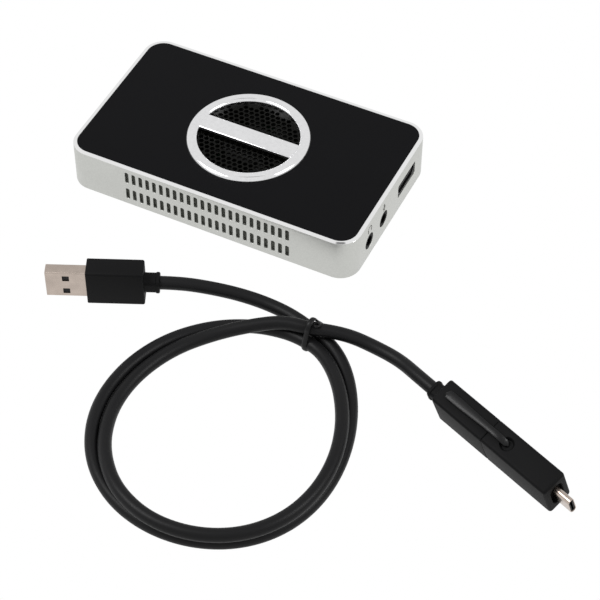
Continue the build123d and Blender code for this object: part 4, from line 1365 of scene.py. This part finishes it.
@dataclass
class Cord:
    """The lead's cord, in millimetres: out of one plug, twice round, through the tie, into the other plug."""

    near: Pose
    far: Pose
    relief: float = 5.4
    diameter: float = 4.9
    centre: Pair = (51.3, -110.6)
    half_width: float = 40.0
    half_length: float = 49.3
    taper: float = 0.18
    tilt: float = math.radians(6.6)
    pitch: float = 5.2
    floor: float = 2.5
    tie_height: float = 3.4
    rise_power: int = 8
    straight: float = 7.0
    points_a_turn: int = 20
    sides: int = 7
    smoothness: int = 8
    insets: tuple[Pair, ...] = ((0.0, 1.0), (0.6, -2.5), (0.8, -5.5), (1.0, 6.5))
    lays: tuple[Pair, ...] = ((1.0, 0.0), (1.25, 80.0), (1.5, 95.0), (1.68, 5.0), (1.85, 20.0), (2.0, 110.0))
    start: tuple[Point, ...] = ((6.62, -67.24, 7.9), (15.5, -63.6, 6.6), (26.0, -60.0, 4.6),
                                (36.5, -58.4, 3.2), (47.0, -59.3, 3.0))
    end: tuple[Point, ...] = ((70.0, -62.8, 8.1), (80.5, -62.3, 6.4), (91.0, -64.2, 6.6))

    def egg(self, turn: float) -> Vector:
        """Find a point of the flat egg that the first turn follows; its narrow end is at the tie.

        Args:
            turn: Turns after the tie.

        Returns:
            The point, at height 0.
        """
        angle = 2 * math.pi * turn
        across = self.half_width * math.sin(angle) * (1 - self.taper * math.cos(angle))
        along = self.half_length * math.cos(angle)
        turned = Matrix.Rotation(-self.tilt, 3, "Z") @ Vector((across, along, 0))
        return turned + Vector((*self.centre, 0))

    def beside(self, turn: float, reach: float, lay: float) -> Vector:
        """Step from the egg's line: inward at a lay of 0 degrees, up at 90.

        Args:
            turn: Turns after the tie.
            reach: Length of the step.
            lay: Its direction in degrees.

        Returns:
            The step.
        """
        ahead = (self.egg(turn + 1 / 360) - self.egg(turn - 1 / 360)).normalized()
        inward = Vector((ahead.y, -ahead.x, 0))
        return (inward * math.cos(math.radians(lay)) + Z * math.sin(math.radians(lay))) * reach

    def loop_point(self, turn: float) -> Vector:
        """Find the middle of the cord; the second turn rolls over the first.

        Args:
            turn: Turns after the tie.

        Returns:
            The point.
        """
        if turn > 1:
            lay = max(0.0, between(self.lays, turn))
            return self.loop_point(turn - 1) + self.beside(turn, self.pitch, lay)
        rise = (self.tie_height - self.floor) * max(0, math.cos(2 * math.pi * turn)) ** self.rise_power
        return self.egg(turn) + Z * (self.floor + rise) + self.beside(turn, between(self.insets, turn), 0)

    def route(self) -> list[Vector]:
        """Control points of the whole cord.

        Returns:
            The points, from the first plug's relief to the second's.
        """
        near_exit = self.near.place(-self.relief).translation
        far_exit = self.far.place(-self.relief).translation
        points = [near_exit] + [Vector(point) for point in self.start]
        points += [self.loop_point(step / self.points_a_turn) for step in range(2 * self.points_a_turn + 1)]
        points += [Vector(point) for point in self.end]
        return points + [far_exit - self.far.ahead() * self.straight, far_exit]

    def build(self) -> Piece:
        """Returns:
            The curve.
        """
        curve = bpy.data.curves.new("cord", "CURVE")
        curve.dimensions = "3D"
        curve.bevel_depth = self.diameter / 2 * MM
        curve.bevel_resolution = self.sides
        curve.resolution_u = self.smoothness
        curve.use_fill_caps = True
        points = self.route()
        spline = curve.splines.new("NURBS")
        spline.points.add(len(points) - 1)
        for spot, point in zip(spline.points, points):
            spot.co = (*(point * MM), 1)
        spline.order_u = 3
        spline.use_endpoint_u = True
        cord = bpy.data.objects.new("cord", curve)
        bpy.context.scene.collection.objects.link(cord)
        Look.CABLE.on(cord)
        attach(cord, "lead")
        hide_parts("cord_start", "cord_coil", "cord_end")
        return cord

    def declare(self) -> None:
        """Work out the cord's first point in metres; nothing is kept or stated.
        """
        tuple(self.route()[0] * MM)


@dataclass
class Tie:
    """The thin rubber tie round the three strands, with its small eyelet."""

    cord: Cord
    thickness: float = 0.8
    width: float = 2.0
    gap: float = 0.12
    slack: float = 1.7
    shift: float = 1.7
    slant: float = -0.02
    eyelet_angle: float = math.radians(78)
    end_strand: Point = (56.4, -66.0, 8.0)
    eyelet: float = 1.1
    eyelet_wire: float = 0.5
    eyelet_rise: float = 0.1
    eyelet_reach: float = 0.7
    steps: int = 72

    def build(self) -> Piece:
        """Wind the band round the strands and set the eyelet beside its top.

        Returns:
            The tie.
        """
        middle = self.cord.loop_point(0)
        tilt = self.cord.tilt
        way = Vector((math.cos(tilt), -math.sin(tilt), 0))
        side = Vector((math.sin(tilt), math.cos(tilt), 0))
        strands = [Vector(spot) - middle for spot in (middle, self.cord.loop_point(1), self.end_strand)]
        flat = [Vector((strand.dot(side), strand.z)) for strand in strands]
        reach = self.cord.diameter / 2 + self.gap + self.thickness / 2
        section = circle(self.thickness / 2, 12, self.width / 2)
        form = Form()
        rings = []
        for across, up in circle(1.0, self.steps):
            out = Vector((across, up))
            spot = max(flat, key=lambda strand: strand.dot(out))
            spot = spot + out * (reach + self.slack * max(0.0, up) ** 2)
            outward = side * across + Z * up
            centre = middle + side * spot.x + Z * spot.y + way * (self.shift + self.slant * spot.y)
            rings.append([centre + outward * raised + way * along for raised, along in section])
        form.loft(rings, around=True)
        out = Vector((math.cos(self.eyelet_angle), math.sin(self.eyelet_angle)))
        spot = flat[2] + out * (reach + self.eyelet_rise)
        along = self.shift + self.slant * spot.y + self.width / 2 + self.eyelet * self.eyelet_reach
        place = axes(tuple(middle + side * spot.x + Z * spot.y + way * along), way, side * out.x + Z * out.y)
        bead = [(self.eyelet + run, rise) for run, rise in circle(self.eyelet_wire, 10)]
        form.lathe(bead, 28, place)
        return settle(form.drawn("tie_band"), Look.TIE, "lead", "cord_tie", sharp=50.0)


@dataclass
class Studio:
    """The pale floor, the lamps and the camera that looks as the photograph does."""

    azimuth: float = math.radians(25.73)
    elevation: float = math.radians(48.54)
    roll: float = math.radians(0.368)
    distance: float = 0.7369
    aim: Point = (0.04539, -0.04923, 0.0)
    lens: float = 123.6
    dark_way: Point = (-0.123, 0.275, 0.954)
    dark_inner: float = 0.9978
    dark_outer: float = 0.9945
    dark_level: float = 0.3
    seeing_rays: tuple[str, ...] = ("Is Glossy Ray", "Is Transmission Ray", "Is Camera Ray")
    world_level: float = 0.45
    sky_level: float = 0.8
    floor_level: float = 0.9
    floor_roughness: float = 0.9
    floor_reach: float = 2.0
    lamps: tuple[tuple[str, Point, float, float], ...] = (
        ("soft lamp left", (-0.5, -0.35, 0.8), 0.5, 6.0), ("soft lamp right", (0.75, 0.1, 0.7), 0.4, 4.0))

    def camera(self) -> None:
        """Place the camera and look through it."""
        turn, lift = self.azimuth, self.elevation
        back = Vector((math.sin(turn) * math.cos(lift), -math.cos(turn) * math.cos(lift), math.sin(lift)))
        right = Vector((math.cos(turn), math.sin(turn), 0))
        above = back.cross(right)
        across = right * math.cos(self.roll) + above * math.sin(self.roll)
        upward = above * math.cos(self.roll) - right * math.sin(self.roll)
        data = bpy.data.cameras.new("photo camera")
        data.lens = self.lens
        data.sensor_width = 36.0
        data.clip_start = 0.01
        camera = bpy.data.objects.new("photo camera", data)
        bpy.context.scene.collection.objects.link(camera)
        placed = Matrix((across, upward, back)).transposed().to_4x4()
        placed.translation = Vector(self.aim) + back * self.distance
        camera.matrix_world = placed
        bpy.context.scene.camera = camera

    def lamp(self, name: str, place: Point, size: float, power: float) -> None:
        """Add one square lamp that shines on the middle of the scene.

        Args:
            name: The lamp's name.
            place: Where it stands.
            size: Length of its side.
            power: Its power in watts.
        """
        data = bpy.data.lights.new(name, "AREA")
        data.size = size
        data.energy = power
        lamp = bpy.data.objects.new(name, data)
        bpy.context.scene.collection.objects.link(lamp)
        lamp.location = place
        lamp.rotation_euler = (Vector(place) - Vector(self.aim)).to_track_quat("Z", "Y").to_euler()

    def shown_to(self, tree: Tree, ray: str, shader: Socket, rest: Socket) -> Socket:
        """Show one shader to one kind of ray, and another to the rest.

        Args:
            tree: The node tree to add to.
            ray: The kind of ray, as Light Path names it.
            shader: What it sees.
            rest: What the other rays see.

        Returns:
            The mixed shader's output.
        """
        mix = tree.nodes.new("ShaderNodeMixShader")
        tree.links.new(tree.nodes.new("ShaderNodeLightPath").outputs[ray], mix.inputs["Fac"])
        tree.links.new(rest, mix.inputs[1])
        tree.links.new(shader, mix.inputs[2])
        return mix.outputs["Shader"]

    def mirrored(self, tree: Tree) -> Socket:
        """Add the strength of the sky in mirrors: 1 all round, and less in a soft round patch overhead.

        Args:
            tree: The world's node tree.

        Returns:
            The strength in the direction that is looked at.
        """
        dot = tree.nodes.new("ShaderNodeVectorMath")
        dot.operation = "DOT_PRODUCT"
        dot.inputs[1].default_value = Vector(self.dark_way).normalized()
        tree.links.new(tree.nodes.new("ShaderNodeTexCoord").outputs["Generated"], dot.inputs[0])
        fade = tree.nodes.new("ShaderNodeMapRange")
        fade.interpolation_type = "SMOOTHSTEP"
        fade.inputs["From Min"].default_value = self.dark_outer
        fade.inputs["From Max"].default_value = self.dark_inner
        fade.inputs["To Min"].default_value = 1.0
        fade.inputs["To Max"].default_value = self.dark_level
        tree.links.new(dot.outputs["Value"], fade.inputs["Value"])
        return fade.outputs["Result"]

    def world(self) -> None:
        """Light the scene evenly; the camera and mirrors see a pale sky, and mirrors its dark patch too."""
        world = bpy.data.worlds.new("surround")
        world.use_nodes = True
        bpy.context.scene.world = world
        tree = world.node_tree
        plain = tree.nodes["Background"]
        plain.inputs["Color"].default_value = (1, 1, 1, 1)
        plain.inputs["Strength"].default_value = self.world_level
        shown = tree.nodes.new("ShaderNodeBackground")
        tree.links.new(self.mirrored(tree), shown.inputs["Strength"])
        pale = tree.nodes.new("ShaderNodeBackground")
        for sky in (shown, pale):
            sky.inputs["Color"].default_value = (self.sky_level, self.sky_level, self.sky_level, 1)
        seen = plain.outputs["Background"]
        for ray, shader in zip(self.seeing_rays, (shown, shown, pale)):
            seen = self.shown_to(tree, ray, shader.outputs["Background"], seen)
        tree.links.new(seen, tree.nodes["World Output"].inputs["Surface"])

    def floor(self) -> None:
        """Lay the pale floor; the camera, and mirror and glass rays, see it white."""
        mesh = bpy.data.meshes.new("floor")
        build = bmesh.new()
        bmesh.ops.create_grid(build, x_segments=1, y_segments=1, size=self.floor_reach)
        build.to_mesh(mesh)
        build.free()
        floor = bpy.data.objects.new("floor", mesh)
        bpy.context.scene.collection.objects.link(floor)
        sheet = Sheet("pale floor")
        sheet.value("Base Color", (self.floor_level, self.floor_level, self.floor_level))
        sheet.value("Roughness", self.floor_roughness)
        sheet.value("Specular IOR Level", 0.0)
        tree = sheet.tree
        white = tree.nodes.new("ShaderNodeEmission").outputs["Emission"]
        seen = sheet.shader.outputs["BSDF"]
        for ray in self.seeing_rays:
            seen = self.shown_to(tree, ray, white, seen)
        tree.links.new(seen, tree.nodes["Material Output"].inputs["Surface"])
        mesh.materials.append(sheet.material)

    def build(self) -> None:
        """Set the view transform, the camera, the lamps and the floor."""
        bpy.context.scene.view_settings.view_transform = "Standard"
        self.camera()
        self.world()
        self.floor()
        for name, place, size, power in self.lamps:
            self.lamp(name, place, size, power)


def main() -> None:
    """Build each group in order and report it."""
    logging.basicConfig(level=logging.INFO, format="%(message)s")
    Studio().build()
    LOG.info("studio placed")
    near = Pose(x=-4.7, y=-72.3, z=7.9, heading=204.1, lean=0.0)
    far = Pose(x=112.3, y=-74.7, z=8.93, heading=-22.5, lean=19.0)
    LOG.info("%d case pieces", len(Case().build()))
    LOG.info("%d jacks", len(AudioJacks().build()))
    LOG.info("%d printed marks", len(JackMarks().build()))
    LOG.info("%s built", Emblem().build().name)
    LOG.info("%s built", CoverScrews().build().name)
    near_plug = Plug("usb_plug", near, thickness=8.2, width=15.8, length=20.5, corner=1.0, out=14.6).build()
    far_plug = Plug("far_plug", far, thickness=9.8, width=16.2, length=23.3, corner=1.2, out=13.4).build()
    adapter = Adapter(far).build()
    LOG.info("%d lead pieces", len(near_plug + far_plug + adapter))
    laying = Cord(near, far)
    cord = laying.build()
    tie = Tie(laying).build()
    laying.declare()
    LOG.info("%s laid with %d control points", cord.name, len(cord.data.splines[0].points))
    LOG.info("%d solids dressed", CadPieces().dress())


if __name__ == "__main__":
    main()
